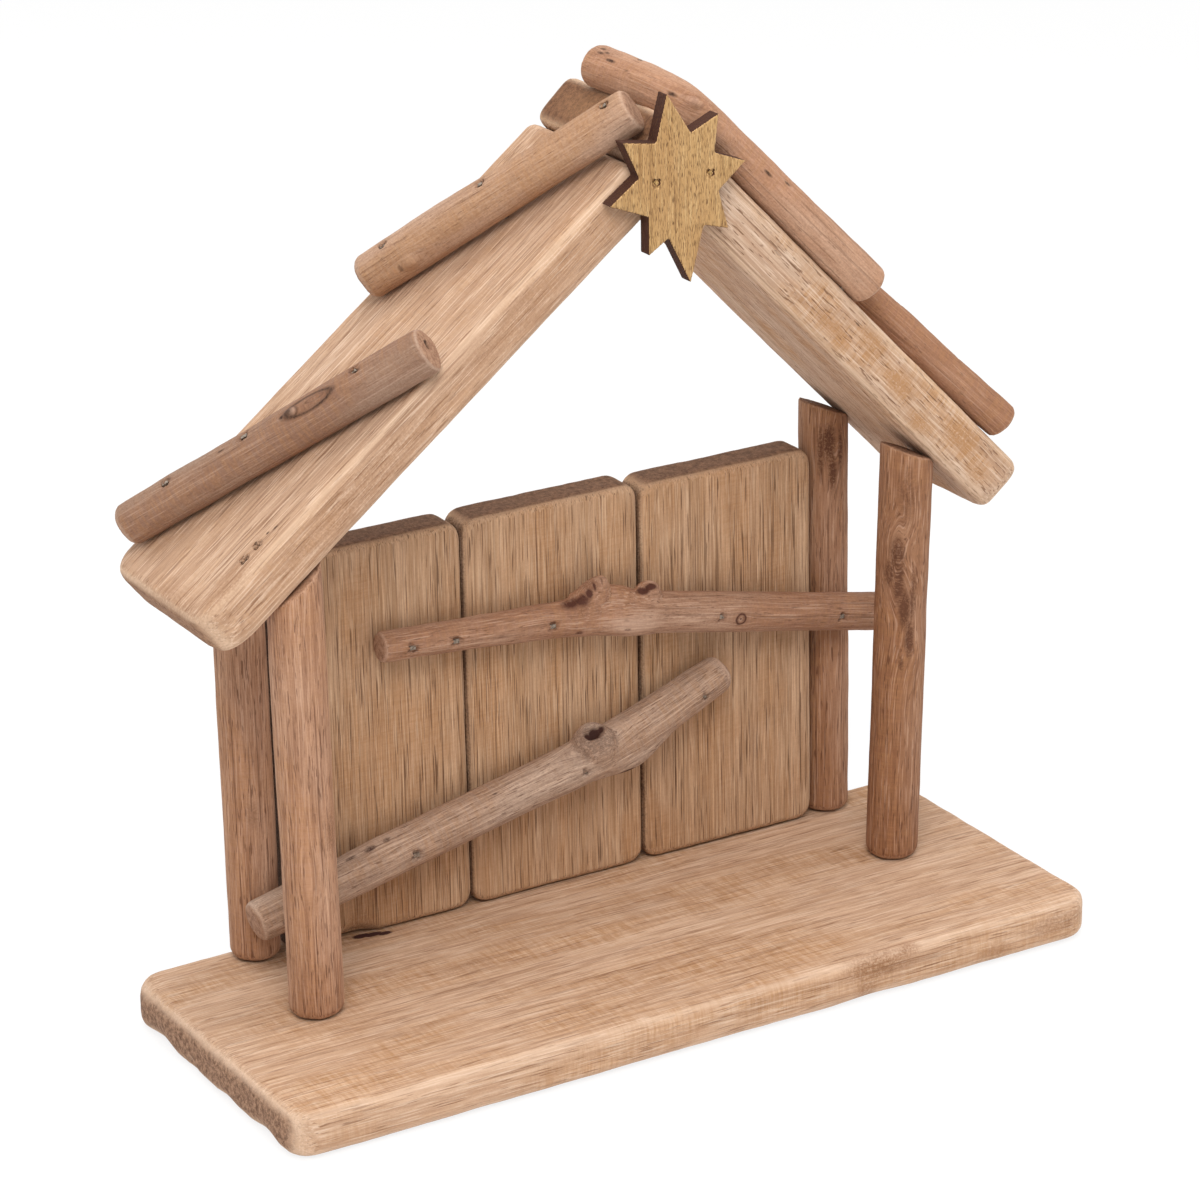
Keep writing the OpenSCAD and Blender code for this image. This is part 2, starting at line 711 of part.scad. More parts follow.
module roof_branch_left_lower() {
    color("rosybrown") difference() {
        at_left_lower() stick(left_lower_l, left_lower_d, left_lower_end_d);
        left_lower_brad_set(true);
    }
}
module roof_branch_left_upper() {
    color("rosybrown") difference() {
        at_left_upper() stick(left_upper_l, left_upper_d, left_upper_d);
        left_upper_brad_set(true);
    }
}
module roof_branch_right_lower() {
    color("rosybrown") difference() {
        at_right_lower() stick(right_lower_l, right_lower_d, right_lower_d);
        right_lower_brad_set(true);
    }
}
module roof_branch_ridge() {
    color("rosybrown") difference() {
        right_roof_frame() limb(bent_path, bent_sizes, bent_knot_shares);
        bent_brad_set(true);
    }
}
module rail_branch() {
    color("peru") difference() {
        limb(rail_path, rail_sizes, rail_knot_shares);
        rail_brad_set(true);
    }
}
module brace_branch() {
    color("gray") difference() {
        limb(brace_path, brace_sizes, brace_knot_shares);
        brace_brad_set(true);
    }
}
module star() {
    color("goldenrod") difference() {
        translate([star_x, star_back, star_z]) rotate([90, 0, 0])
            linear_extrude(star_t) polygon(star_outline());
        star_brad_set(true);
    }
}

// The brads and nails
module post_nails() {
    color("silver") post_nail_set(false);
}
module plank_nails() {
    color("silver") plank_nail_set(false);
}
module roof_brads_left() {
    color("silver") left_roof_brad_set(false);
}
module roof_brads_right() {
    color("silver") right_roof_brad_set(false);
}
module ridge_brads() {
    color("silver") ridge_brad_set(false);
}
module branch_brads_left_lower() {
    color("silver") left_lower_brad_set(false);
}
module branch_brads_left_upper() {
    color("silver") left_upper_brad_set(false);
}
module branch_brads_ridge() {
    color("silver") bent_brad_set(false);
}
module branch_brads_right_lower() {
    color("silver") right_lower_brad_set(false);
}
module rail_brads() {
    color("silver") rail_brad_set(false);
}
module brace_brads() {
    color("silver") brace_brad_set(false);
}
module star_brads() {
    color("goldenrod") star_brad_set(false);
}

base_board();
post_front_left();
post_front_right();
post_back_left();
post_back_right();
wall_plank_left();
wall_plank_middle();
wall_plank_right();
rail_branch();
brace_branch();
roof_board_left();
roof_board_right();
roof_branch_left_lower();
roof_branch_left_upper();
roof_branch_ridge();
roof_branch_right_lower();
star();
post_nails();
plank_nails();
roof_brads_left();
roof_brads_right();
ridge_brads();
branch_brads_left_lower();
branch_brads_left_upper();
branch_brads_ridge();
branch_brads_right_lower();
rail_brads();
brace_brads();
star_brads();
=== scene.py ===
import math
import bpy
import numpy as np
from mathutils import Matrix, Vector


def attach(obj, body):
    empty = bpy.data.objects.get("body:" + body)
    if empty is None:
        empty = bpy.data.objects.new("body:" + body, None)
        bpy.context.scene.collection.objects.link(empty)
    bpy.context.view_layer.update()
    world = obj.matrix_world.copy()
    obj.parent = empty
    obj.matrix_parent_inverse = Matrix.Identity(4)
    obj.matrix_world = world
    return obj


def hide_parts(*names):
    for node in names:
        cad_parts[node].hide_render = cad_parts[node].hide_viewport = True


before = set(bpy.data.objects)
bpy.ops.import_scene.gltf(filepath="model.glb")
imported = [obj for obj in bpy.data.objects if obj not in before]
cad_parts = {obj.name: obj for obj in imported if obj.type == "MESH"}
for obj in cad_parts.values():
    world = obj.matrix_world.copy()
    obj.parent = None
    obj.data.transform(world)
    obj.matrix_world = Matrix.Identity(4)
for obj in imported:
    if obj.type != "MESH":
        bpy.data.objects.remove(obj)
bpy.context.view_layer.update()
mm = 0.001
bpy.ops.object.select_all(action="DESELECT")


# small helpers for materials

def rgb(r, g, b):  # a colour as a picture shows it, 0 to 255
    def plain(v):
        v /= 255
        return v / 12.92 if v <= 0.04045 else ((v + 0.055) / 1.055) ** 2.4
    return (plain(r), plain(g), plain(b), 1)


def fillIn(tree, node, inputs):
    for key, value in inputs.items():
        if isinstance(value, bpy.types.NodeSocket):
            tree.links.new(value, node.inputs[key])
        else:
            node.inputs[key].default_value = value


def addNode(tree, kind, inputs=(), **settings):
    made = tree.nodes.new(kind)
    for key, value in settings.items():
        setattr(made, key, value)
    fillIn(tree, made, dict(inputs))
    return made


def sums(tree, operation, a, b=0.0, clamp=False):
    return addNode(tree, "ShaderNodeMath", {0: a, 1: b}, operation=operation, use_clamp=clamp).outputs[0]


def mixColour(tree, share, a, b):
    return addNode(tree, "ShaderNodeMix", {0: share, 6: a, 7: b}, data_type="RGBA").outputs[2]


def spread(tree, value, low, high):
    return addNode(tree, "ShaderNodeMapRange", {"Value": value, "From Min": low, "From Max": high}).outputs[0]


def noise(tree, place, detail, rough=0.5):
    made = addNode(tree, "ShaderNodeTexNoise", {"Vector": place, "Scale": 1.0, "Detail": detail, "Roughness": rough})
    return made.outputs["Fac"]


def newMaterial(name):
    material = bpy.data.materials.new(name)
    material.use_nodes = True
    return material, material.node_tree, material.node_tree.nodes["Principled BSDF"]


def addBump(tree, shader, height, strength, distance):
    bump = addNode(tree, "ShaderNodeBump", {"Strength": strength, "Distance": distance, "Height": height})
    fillIn(tree, shader, {"Normal": bump.outputs["Normal"]})


# camera, floor and light

cameraSettings = {
    "place": (-639.12, -1095.19, 617.94),
    "azimuth": -30.11,
    "elevation": 21.208,
    "roll": -1.197,
    "lens": 135.4,
    "sensor": 36,
    "nearest": 10,
}
lampSettings = {
    "key": {"place": (-600, -1000, 1500), "size": 900, "watts": 20},
    "top": {"place": (100, 0, 1700), "size": 800, "watts": 8},
    "fill": {"place": (1200, -500, 800), "size": 1000, "watts": 4},
    "back": {"place": (-500, 1200, 900), "size": 1000, "watts": 4},
}
roomSettings = {
    "lampsAimAt": (0, 0, 100),
    "soft": {"Color": (1, 0.99, 0.98, 1), "Strength": 0.6},
    "white": {"Color": (1, 1, 1, 1), "Strength": 1.0},
    "floorSize": 8000, "floorDrop": 0.2, "floorWhite": 0.8,
    "floorMatte": {"Color": (0.9, 0.9, 0.9, 1)},
    "floorGlow": {"Color": (1, 1, 1, 1), "Strength": 1.03},
}


def addCamera(s):
    bpy.ops.object.camera_add()
    camera = bpy.context.object
    camera.matrix_world = (
        Matrix.Translation(Vector(s["place"]) * mm)
        @ Matrix.Rotation(math.radians(s["azimuth"]), 4, "Z")
        @ Matrix.Rotation(math.radians(90 - s["elevation"]), 4, "X")
        @ Matrix.Rotation(math.radians(s["roll"]), 4, "Z"))
    camera.data.lens = s["lens"]
    camera.data.sensor_width = s["sensor"]
    camera.data.clip_start = s["nearest"] * mm
    bpy.context.scene.camera = camera


def addLamp(name, s, aim):
    place = Vector(s["place"]) * mm
    bpy.ops.object.light_add(type="AREA", location=place)
    lamp = bpy.context.object
    lamp.name = name
    lamp.rotation_euler = (place - Vector(aim) * mm).to_track_quat("Z", "Y").to_euler()
    lamp.data.size = s["size"] * mm
    lamp.data.energy = s["watts"]


def seenRays(tree, *kinds):  # 1 where the camera sees it, straight or through those other kinds of ray
    rays = addNode(tree, "ShaderNodeLightPath").outputs
    seen = rays["Is Camera Ray"]
    for kind in kinds:
        seen = sums(tree, "MAXIMUM", seen, rays[kind])
    return seen


def addFloor(s):
    bpy.ops.mesh.primitive_plane_add(size=s["floorSize"] * mm, location=(0, 0, -s["floorDrop"] * mm))
    floor = bpy.context.object
    floor.name = "floor"
    material, tree, shader = newMaterial("paleFloor")
    tree.nodes.remove(shader)
    share = sums(tree, "MULTIPLY", seenRays(tree, "Is Glossy Ray"), s["floorWhite"])
    matte = addNode(tree, "ShaderNodeBsdfDiffuse", s["floorMatte"])
    white = addNode(tree, "ShaderNodeEmission", s["floorGlow"])
    mixed = addNode(tree, "ShaderNodeMixShader", {0: share, 1: matte.outputs[0], 2: white.outputs[0]})
    fillIn(tree, tree.nodes["Material Output"], {"Surface": mixed.outputs[0]})
    floor.data.materials.append(material)


def lightWorld(s):
    world = bpy.data.worlds.new("studio")
    bpy.context.scene.world = world
    world.use_nodes = True
    tree = world.node_tree
    tree.nodes.clear()
    seen = seenRays(tree, "Is Glossy Ray", "Is Transmission Ray")
    soft = addNode(tree, "ShaderNodeBackground", s["soft"])
    white = addNode(tree, "ShaderNodeBackground", s["white"])
    mixed = addNode(tree, "ShaderNodeMixShader", {0: seen, 1: soft.outputs[0], 2: white.outputs[0]})
    addNode(tree, "ShaderNodeOutputWorld", {"Surface": mixed.outputs[0]})


addCamera(cameraSettings)
for lampName, lampSetting in lampSettings.items():
    addLamp(lampName, lampSetting, roomSettings["lampsAimAt"])
addFloor(roomSettings)
lightWorld(roomSettings)
bpy.context.scene.view_settings.view_transform = "Standard"
print("camera, floor and light are set")


# wood

grainPatterns = {  # steps per mm along and across the grain, detail, roughness, and the values that become 0 and 1
    "streaks": (0.009, 0.3, 3, 0.6, 0.36, 0.64),
    "flecks": (0.07, 2.1, 1, 0.5, 0.56, 0.66),
    "lines": (0.016, 1.1, 1, 0.5, 0.66, 0.7),
    "patches": (0.02, 0.06, 3, 0.5, 0.42, 0.62),
    "scuffs": (0.9, 0.1, 3, 0.7, 0.42, 0.6),
    "speckle": (1.3, 1.3, 3, 0.7, 0.38, 0.62),
    "mottle": (0.55, 0.55, 5, 0.85, 0.4, 0.6),
}
grainSettings = {
    "ringTones": ((0, 1), (0.14, 0.35), (0.4, 0), (0.75, 0.15), (1, 0.8)),  # from one ring to the next
    "wander": (0.014, 0.06, 3), "fibres": (3, 0.75, 0.36, 0.64),
    "poreFrom": 0.72, "poreRange": 0.2, "ringPores": 0.04, "poreRim": 0.05,
    "heights": {"fibres": -0.5, "pores": -1, "lines": -0.6, "speckle": -0.2},
}
grainInputs = ("ringGap", "waver", "fineness", "poreShare", "poreFineness", "poreLength", "drift")
grainLayers = (  # from the lowest to the highest, with the tone of each
    ("rings", "dark"), ("streaks", "streak"), ("patches", "patch"), ("scuffs", "scuff"), ("fibres", "fibre"),
    ("speckle", "fibre"), ("flecks", "fleck"), ("lines", "pore"), ("pores", "pore"))


def lumberGroup(s):  # grain, fibres and pores at a place in mm, with X along the grain
    tree = bpy.data.node_groups.new("lumber", "ShaderNodeTree")
    tree.interface.new_socket("place", in_out="INPUT", socket_type="NodeSocketVector")
    for name in grainInputs:
        tree.interface.new_socket(name, in_out="INPUT", socket_type="NodeSocketFloat")
    start = addNode(tree, "NodeGroupInput").outputs

    def times(a, b):
        return sums(tree, "MULTIPLY", a, b)

    def plus(a, b):
        return sums(tree, "ADD", a, b)

    def less(a, b):
        return sums(tree, "SUBTRACT", a, b)

    def stretched(along, across):
        scale = addNode(tree, "ShaderNodeCombineXYZ", {"X": along, "Y": across, "Z": across}).outputs[0]
        return addNode(tree, "ShaderNodeVectorMath", {0: start["place"], 1: scale}, operation="MULTIPLY").outputs[0]

    along, across, detail = s["wander"]
    wander = less(noise(tree, stretched(along, across), detail), 0.5)
    reach = addNode(tree, "ShaderNodeVectorMath", {0: stretched(0, 1)}, operation="LENGTH").outputs["Value"]
    reach = plus(reach, times(wander, times(start["waver"], 2)))
    step = sums(tree, "FRACT", sums(tree, "DIVIDE", reach, start["ringGap"]))
    ramp = addNode(tree, "ShaderNodeValToRGB", {"Fac": step})
    tones = ramp.color_ramp.elements  # there are two at first, at 0 and 1
    for place, value in s["ringTones"][1:-1]:
        tones.new(place)
    for tone, (place, value) in zip(tones, s["ringTones"]):
        tone.color = (value, value, value, 1)
    made = {"rings": times(ramp.outputs["Color"], 1)}
    detail, rough, low, high = s["fibres"]
    fibres = noise(tree, stretched(start["drift"], start["fineness"]), detail, rough)
    made["fibres"] = spread(tree, fibres, low, high)
    for name, (along, across, detail, rough, low, high) in grainPatterns.items():
        made[name] = spread(tree, noise(tree, stretched(along, across), detail, rough), low, high)
    pore = noise(tree, stretched(sums(tree, "DIVIDE", 1, start["poreLength"]), start["poreFineness"]), 1)
    least = less(s["poreFrom"], times(start["poreShare"], s["poreRange"]))
    least = less(least, times(made["rings"], s["ringPores"]))  # there are more pores in the dark of each ring
    made["pores"] = spread(tree, pore, least, plus(least, s["poreRim"]))
    height = 0
    for name, share in s["heights"].items():
        height = plus(height, times(made[name], share))
    made["height"] = height
    for name in made:
        tree.interface.new_socket(name, in_out="OUTPUT", socket_type="NodeSocketFloat")
    addNode(tree, "NodeGroupOutput", made)
    return tree


lumber = lumberGroup(grainSettings)
markSettings = {"pale": 0.9, "stainSpeckle": 0.8, "stainLeast": 0.4, "holeRagged": 0.4}
woodDefaults = {  # for what a wood's own settings leave out
    "scuff": (176, 128, 84), "stain": (140, 98, 66), "hole": (58, 36, 24), "rings": 0.4, "streaks": 0.6, "fibres": 0.55,
    "lines": 0.5, "flecks": 0.35, "patches": 0.4, "scuffs": 0.35, "speckle": 0.12, "ringGap": 3.2, "waver": 3.5,
    "fineness": 0.9, "poreShare": 0.4, "poreFineness": 2, "drift": 0.03, "roughness": 0.8, "metallic": 0,
    "specular": 0.3, "bump": 0.5, "bumpDepth": 0.0004,
}


def woodMaterial(name, settings, place=None):  # place is where the board's own X, Y and Z start and how they turn
    s = dict(woodDefaults, **settings)
    material, tree, shader = newMaterial(name)
    if place is None:  # a branch carries its place along and across it
        found = addNode(tree, "ShaderNodeAttribute", attribute_name="along").outputs["Vector"]
        spot = addNode(tree, "ShaderNodeMapping", {"Vector": found, "Scale": (1 / mm, 1 / mm, 1 / mm)}).outputs[0]
    else:
        found = addNode(tree, "ShaderNodeTexCoord").outputs["Object"]
        spot = addNode(tree, "ShaderNodeMapping", {
            "Vector": found, "Location": place.to_translation(), "Rotation": place.to_euler(),
            "Scale": (mm, mm, mm)}, vector_type="TEXTURE").outputs[0]
    spot = addNode(tree, "ShaderNodeVectorMath", {0: spot, 1: s["pith"]}, operation="SUBTRACT").outputs[0]
    given = {"place": spot, **{key: s[key] for key in grainInputs}}
    found = addNode(tree, "ShaderNodeGroup", given, node_tree=lumber).outputs
    marks = addNode(tree, "ShaderNodeAttribute", attribute_name="marks")
    dark, stain, pale = addNode(tree, "ShaderNodeSeparateColor", {0: marks.outputs["Color"]}).outputs

    def layer(under, share, amount, top):
        return mixColour(tree, sums(tree, "MULTIPLY", share, amount), under, rgb(*s[top]))

    def speckled(share):
        return sums(tree, "MULTIPLY", found["speckle"], share)

    colour = rgb(*s["light"])
    for key, tone in grainLayers:
        share = found[key]
        if key == "scuffs":  # they show only in the patches
            share = sums(tree, "MULTIPLY", share, found["patches"])
        colour = layer(colour, share, s[key], tone)
    endGrain = mixColour(tree, found["mottle"], rgb(*s["end"]), rgb(*s["endDark"]))
    colour = mixColour(tree, marks.outputs["Alpha"], colour, endGrain)
    colour = layer(colour, pale, markSettings["pale"], "pale")
    uneven = sums(tree, "ADD", speckled(markSettings["stainSpeckle"]), markSettings["stainLeast"])
    colour = layer(colour, sums(tree, "MULTIPLY", stain, uneven, clamp=True), 1, "stain")
    # the dark mark takes the hole tone: holes, pits round brads and nails, and on the planks painted shade in the seams
    ragged = sums(tree, "SUBTRACT", dark, speckled(markSettings["holeRagged"]), clamp=True)
    colour = layer(colour, ragged, 1, "hole")
    fillIn(tree, shader, {"Base Color": colour, "Roughness": s["roughness"], "Metallic": s["metallic"],
                          "Specular IOR Level": s["specular"]})
    addBump(tree, shader, found["height"], s["bump"], s["bumpDepth"])
    return material


# shaping tools

# Marks are in mm with X along the grain. Dents and swells are (x, y, z, three radii, height), turns are for turnGrain,
# stubs for addStub, knots for drawKnots, and stains, holes, shades and pales are spots for paint.
noMarks = {"dents": (), "stains": (), "holes": (), "knots": (), "turns": (), "pales": (), "shades": (), "stubs": ()}
waves = bpy.data.textures.new("waves", "CLOUDS")
waves.noise_scale = 1
waves.noise_depth = 2
seedSteps = (311, 173, 97)  # each seed starts at a place of its own in the waves
ball = bpy.data.textures.new("ball", "BLEND")
ball.progression = "SPHERICAL"
boardShape = {"apart": 10, "fine": 0, "cuts": 3, "edgeShare": 0.45, "seamShadeShare": 0}  # fine is a reach round each hole
softness = {  # where a mark starts and where it is whole, by how squarely a face looks along an axis or by the radius
    "boardEnd": (0.72, 0.97), "boardEdge": (0.985, 0.785), "seamShadeFacing": (0.6, 0.9), "limbEnd": (0.7, 0.9),
    "limbRim": (0.3, 0), "spot": (1, 0.375), "ring": (0.28, -0.006),
}


def pickOnly(piece):
    bpy.ops.object.select_all(action="DESELECT")
    piece.select_set(True)
    bpy.context.view_layer.objects.active = piece


def toEdit():
    bpy.ops.object.mode_set(mode="EDIT")


def selectAll():
    bpy.ops.mesh.select_all(action="SELECT")


def toObject():
    bpy.ops.object.mode_set(mode="OBJECT")


def freeze(piece):
    pickOnly(piece)
    bpy.ops.object.transform_apply(location=True, rotation=True, scale=True)


def moveTo(piece, place):
    piece.matrix_world = place
    freeze(piece)


def placeOf(origin, turn=(0, 0, 0)):
    turned = Matrix.Identity(4)
    for axis, angle in zip("XYZ", turn):
        turned = Matrix.Rotation(math.radians(angle), 4, axis) @ turned
    return Matrix.Translation(Vector(origin) * mm) @ turned


def useModifier(piece, kind, **settings):
    pickOnly(piece)
    made = piece.modifiers.new(kind.lower(), kind)
    for key, value in settings.items():
        setattr(made, key, value)
    bpy.ops.object.modifier_apply(modifier=made.name)


def chooseEdges(piece, test):
    toObject()
    bpy.context.tool_settings.mesh_select_mode = (False, True, False)
    mesh = piece.data
    for part in (mesh.vertices, mesh.edges, mesh.polygons):
        part.foreach_set("select", np.zeros(len(part), bool))
    for edge in mesh.edges:
        edge.select = test(*(mesh.vertices[i].co / mm for i in edge.vertices))
    toEdit()


def readRows(items, key):  # three numbers of each vertex or face
    found = np.empty(len(items) * 3)
    items.foreach_get(key, found)
    return found.reshape(-1, 3)


def places(piece):  # every vertex in mm
    return readRows(piece.data.vertices, "co") / mm


def normals(piece):
    return readRows(piece.data.vertex_normals, "vector")


def rise(values, low, high):  # 0 up to low, then evenly to 1 at high
    return np.clip((values - low) / (high - low), 0, 1)


def remesh(piece, voxel, smooth):
    useModifier(piece, "REMESH", mode="VOXEL", voxel_size=voxel * mm)
    useModifier(piece, "SMOOTH", factor=0.5, iterations=smooth)


def displace(piece, texture, place, size, height, level):  # moves the surface by a texture laid at a place
    bpy.ops.object.empty_add(location=[v * mm for v in place])
    handle = bpy.context.object
    handle.scale = [v * mm for v in size]
    bpy.context.view_layer.update()
    useModifier(piece, "DISPLACE", texture=texture, texture_coords="OBJECT", texture_coords_object=handle,
                strength=height * mm, mid_level=level)
    bpy.data.objects.remove(handle)


def roughen(piece, uneven, seed, apart=10):  # waves of hand-sanded wood as (height, three lengths, share below)
    for step, (height, size, level) in enumerate(uneven):
        start = [(seed + step * apart) * v for v in seedSteps]
        displace(piece, waves, start, size, height, level)


def swell(piece, bumps):  # a swelling has a height above zero, a dent one below it
    for x, y, z, size, height in bumps:
        displace(piece, ball, (x, y, z), size, height, 0)


def sawOff(piece, point, facing):
    pickOnly(piece)
    toEdit()
    selectAll()
    bpy.ops.mesh.bisect(plane_co=[v * mm for v in point], plane_no=facing, use_fill=True, clear_outer=True)
    toObject()


def refine(piece, spots, radius, cuts):  # finer faces where something small is pressed in
    mesh = piece.data
    middles = readRows(mesh.polygons, "center") / mm
    near = np.zeros(len(middles), bool)
    for x, y, z, *_ in spots:
        near |= np.linalg.norm(middles - np.array((x, y, z)), axis=1) < radius
    pickOnly(piece)
    bpy.context.tool_settings.mesh_select_mode = (False, False, True)
    toEdit()
    bpy.ops.mesh.select_all(action="DESELECT")
    toObject()
    mesh.polygons.foreach_set("select", near)
    toEdit()
    bpy.ops.mesh.subdivide(number_cuts=cuts, smoothness=0)
    toObject()


def marksOf(piece):  # red is dark, green stained, blue pale and alpha end grain
    mesh = piece.data
    values = np.zeros(len(mesh.vertices) * 4, np.float32)
    if "marks" not in mesh.attributes:
        mesh.attributes.new("marks", "FLOAT_COLOR", "POINT").data.foreach_set("color", values)
    layer = mesh.attributes["marks"]
    layer.data.foreach_get("color", values)
    return layer, values.reshape(-1, 4)


def setMarks(piece, marks):  # marks as {channel: a value for each vertex}
    layer, values = marksOf(piece)
    for channel, share in marks.items():
        values[:, channel] = share
    layer.data.foreach_set("color", values.ravel())


def paint(piece, channel, spots):  # spots as (x, y, z, radius or three radii, strength, radius of a ring if it is one)
    values = marksOf(piece)[1][:, channel]
    found = places(piece)
    for x, y, z, radius, strength, *ring in spots:
        away = np.linalg.norm((found - np.array((x, y, z))) / np.array(radius), axis=1)
        share = rise(np.abs(away - ring[0]), *softness["ring"]) if ring else rise(away, *softness["spot"])
        values = np.maximum(values, strength * share)
    setMarks(piece, {channel: values})


def paintBoardEnds(piece, edgeShare):  # the ends show end grain and the sanded edges are paler
    facing = np.abs(normals(piece))
    edges = rise(facing.max(axis=1), *softness["boardEdge"])
    setMarks(piece, {3: rise(facing[:, 0], *softness["boardEnd"]), 2: edgeShare * edges})


def paintSeamShade(piece, share):  # painted shade: the sides along the grain, where the planks meet in seams, are darker
    setMarks(piece, {0: share * rise(np.abs(normals(piece)[:, 1]), *softness["seamShadeFacing"])})


def paintLimbEnds(piece, rimShare=0.5, reach=5, rimFacing=0.6):  # end grain on the sawn ends and a paler rim round it
    along = places(piece)[:, 0]
    near = rise(np.minimum(along - along.min(), along.max() - along), 2 * reach, reach)
    facing = np.abs(normals(piece)[:, 0])
    rim = rise(np.abs(facing - rimFacing), *softness["limbRim"])
    setMarks(piece, {3: near * rise(facing, *softness["limbEnd"]), 2: near * rimShare * rim})


def bradHeads(name, rim=0.1):  # the middle of each head's top and the way it faces, read from the frame's own brads
    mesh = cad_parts[name].data
    found = readRows(mesh.vertices, "co") / mm
    groups = list(range(len(found)))

    def root(i):
        while groups[i] != i:
            i = groups[i]
        return i

    for edge in mesh.edges:
        a, b = (root(i) for i in edge.vertices)
        groups[a] = b
    rootOf = np.array([root(i) for i in range(len(found))])
    heads = []
    for group in np.unique(rootOf):
        own = found[rootOf == group]
        middle = (own.max(axis=0) + own.min(axis=0)) / 2
        way = np.linalg.svd(own - own.mean(axis=0))[2][0]
        reach = (own - middle) @ way
        width = [np.ptp(own[np.abs(reach - end) < rim], axis=0).sum() for end in (reach.min(), reach.max())]
        if width[0] > width[1]:  # the head is the wider end
            way, reach = -way, -reach
        heads.append((own[np.abs(reach - reach.max()) < rim].mean(axis=0), way))
    return heads


def pressIn(piece, name, radius=1.15, depth=0.9, sink=0.4, darkness=0.5, stain=0.2, around=1.2, cuts=3, near=1.5):
    spots = [tuple(place + sink * way) for place, way in bradHeads(name)]  # there is a small pit round each head
    refine(piece, spots, radius + around, cuts)
    found = places(piece)
    swell(piece, [(*spot, (radius, radius, radius), -depth) for spot in spots
                  if np.linalg.norm(found - np.array(spot), axis=1).min() < near])
    paint(piece, 0, [(*spot, radius, darkness) for spot in spots])
    paint(piece, 1, [(*spot, radius * 2, stain) for spot in spots])


def finishPiece(piece, nodeName, slotName, *materials):
    pickOnly(piece)
    piece.name = nodeName + "Piece"
    bpy.ops.object.shade_smooth()
    for material in materials:
        piece.data.materials.append(material)
    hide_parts(nodeName)
    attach(piece, "root")
    print(nodeName, "is modelled with", len(piece.data.polygons), "faces")


def flatBoard(s, cornerSteps=7, edgeSteps=5, smooth=3):  # a sanded board along X with its first corner at the origin
    length, depth, thick = s["size"]
    near = 0.01
    bpy.ops.mesh.primitive_cube_add(size=1, location=(length / 2 * mm, depth / 2 * mm, thick / 2 * mm))
    piece = bpy.context.object
    toEdit()
    bpy.ops.transform.resize(value=(length * mm, depth * mm, thick * mm))
    toObject()
    freeze(piece)
    for (x, y), radius in zip(((0, 0), (length, 0), (length, depth), (0, depth)), s["corners"]):
        chooseEdges(piece, lambda a, b: max(abs(a.x - x), abs(b.x - x), abs(a.y - y), abs(b.y - y)) < near)
        bpy.ops.mesh.bevel(offset=radius * mm, segments=cornerSteps, affect="EDGES")
    chooseEdges(piece, lambda a, b: abs(a.z - b.z) < near and (a.z < near or a.z > thick - near))
    bpy.ops.mesh.bevel(offset=s["edge"] * mm, segments=edgeSteps, affect="EDGES")
    toObject()
    remesh(piece, s["voxel"], smooth)
    return piece


def makeBoard(s, place):  # with its dents and marks, in its place
    piece = flatBoard(s)
    roughen(piece, s["uneven"], s["seed"], s["apart"])
    swell(piece, s["dents"])
    if s["fine"]:
        refine(piece, s["holes"], s["fine"], s["cuts"])
    paintBoardEnds(piece, s["edgeShare"])
    # painted shade down the sides along the grain, in the seams between planks
    paintSeamShade(piece, s["seamShadeShare"])
    paint(piece, 1, s["stains"])
    paint(piece, 0, s["holes"])
    moveTo(piece, place)
    return piece


print("tools are ready")


# base board

baseSettings = {
    "size": (282.8, 113.4, 15), "corners": (8, 9, 11, 11), "edge": 4, "voxel": 1.3, "origin": (-141.4, -56.7, 0),
    "uneven": ((0.8, (60, 30, 30), 0.7), (0.3, (9, 7, 7), 0.6)), "seed": 1, "apart": 1, "fine": 4,
    "nailPits": {"radius": 4, "depth": 0.9, "sink": 0.3, "darkness": 0.2, "stain": 0.3},
    "stains": [(201, 0, 11, (17, 8, 6), 0.75), (196, 3, 5, (7, 5, 5), 0.9), (212, 0, 14, (6, 4, 3), 0.8),
               (268, 0, 8, (16, 9, 5), 0.5), (245, 0, 5, (8, 6, 4), 0.4), (60, 70, 15, (16, 4, 4), 0.25),
               (235, 30, 15, (24, 3, 3), 0.25), (150, 20, 15, (30, 2, 2), 0.2), (90, 62, 15, (14, 3, 4), 0.4)],
    "holes": [(73.5, 98.4, 15, (4, 1.8, 1.6), 2.2), (77, 97.6, 15, (3.8, 1.8, 1.6), 2.2),
              (80.6, 96.4, 15, (3.2, 1.6, 1.6), 2)],
    "dents": [(0, 70, 3, (3, 4, 3), -1.2), (0, 0, 7, (9, 9, 9), -0.8), (283, 0, 7, (9, 9, 9), -0.7),
              (0, 22, 0, (8, 10, 6), -1.2), (0, 47, 0, (6, 8, 5), -0.9), (0, 92, 1, (8, 12, 7), -1.6),
              (0, 104, 15, (8, 10, 6), -1), (200, 0, 0, (16, 6, 4), -0.7)],
    "wood": {
        "light": (214, 181, 154), "dark": (190, 150, 118), "streak": (198, 160, 128), "fibre": (142, 100, 68),
        "patch": (202, 162, 126), "scuff": (176, 128, 80), "pore": (126, 84, 54), "end": (170, 133, 106),
        "endDark": (102, 70, 50), "hole": (62, 30, 22), "fleck": (230, 206, 184), "pale": (224, 196, 172),
        "ringGap": 4.4, "pith": (0, 62, -30), "rings": 0.45, "streaks": 0.5, "fibres": 0.5, "pores": 0.6, "lines": 0.4,
        "scuffs": 0.6, "poreShare": 0.35, "poreLength": 12, "waver": 5},
}


def makeBase(s):
    place = placeOf(s["origin"])
    piece = makeBoard(s, place)
    found = places(piece)
    found[:, 2] = np.maximum(found[:, 2], 0)  # it rests flat
    piece.data.vertices.foreach_set("co", (found * mm).ravel())
    for nails in ("post_nails", "plank_nails"):
        pressIn(piece, nails, **s["nailPits"])
    finishPiece(piece, "base_board", "base_wood", woodMaterial("baseWood", s["wood"], place))


makeBase({**boardShape, **baseSettings})
boardTop = 15.05  # the height at which planks and posts stand on it


# back wall

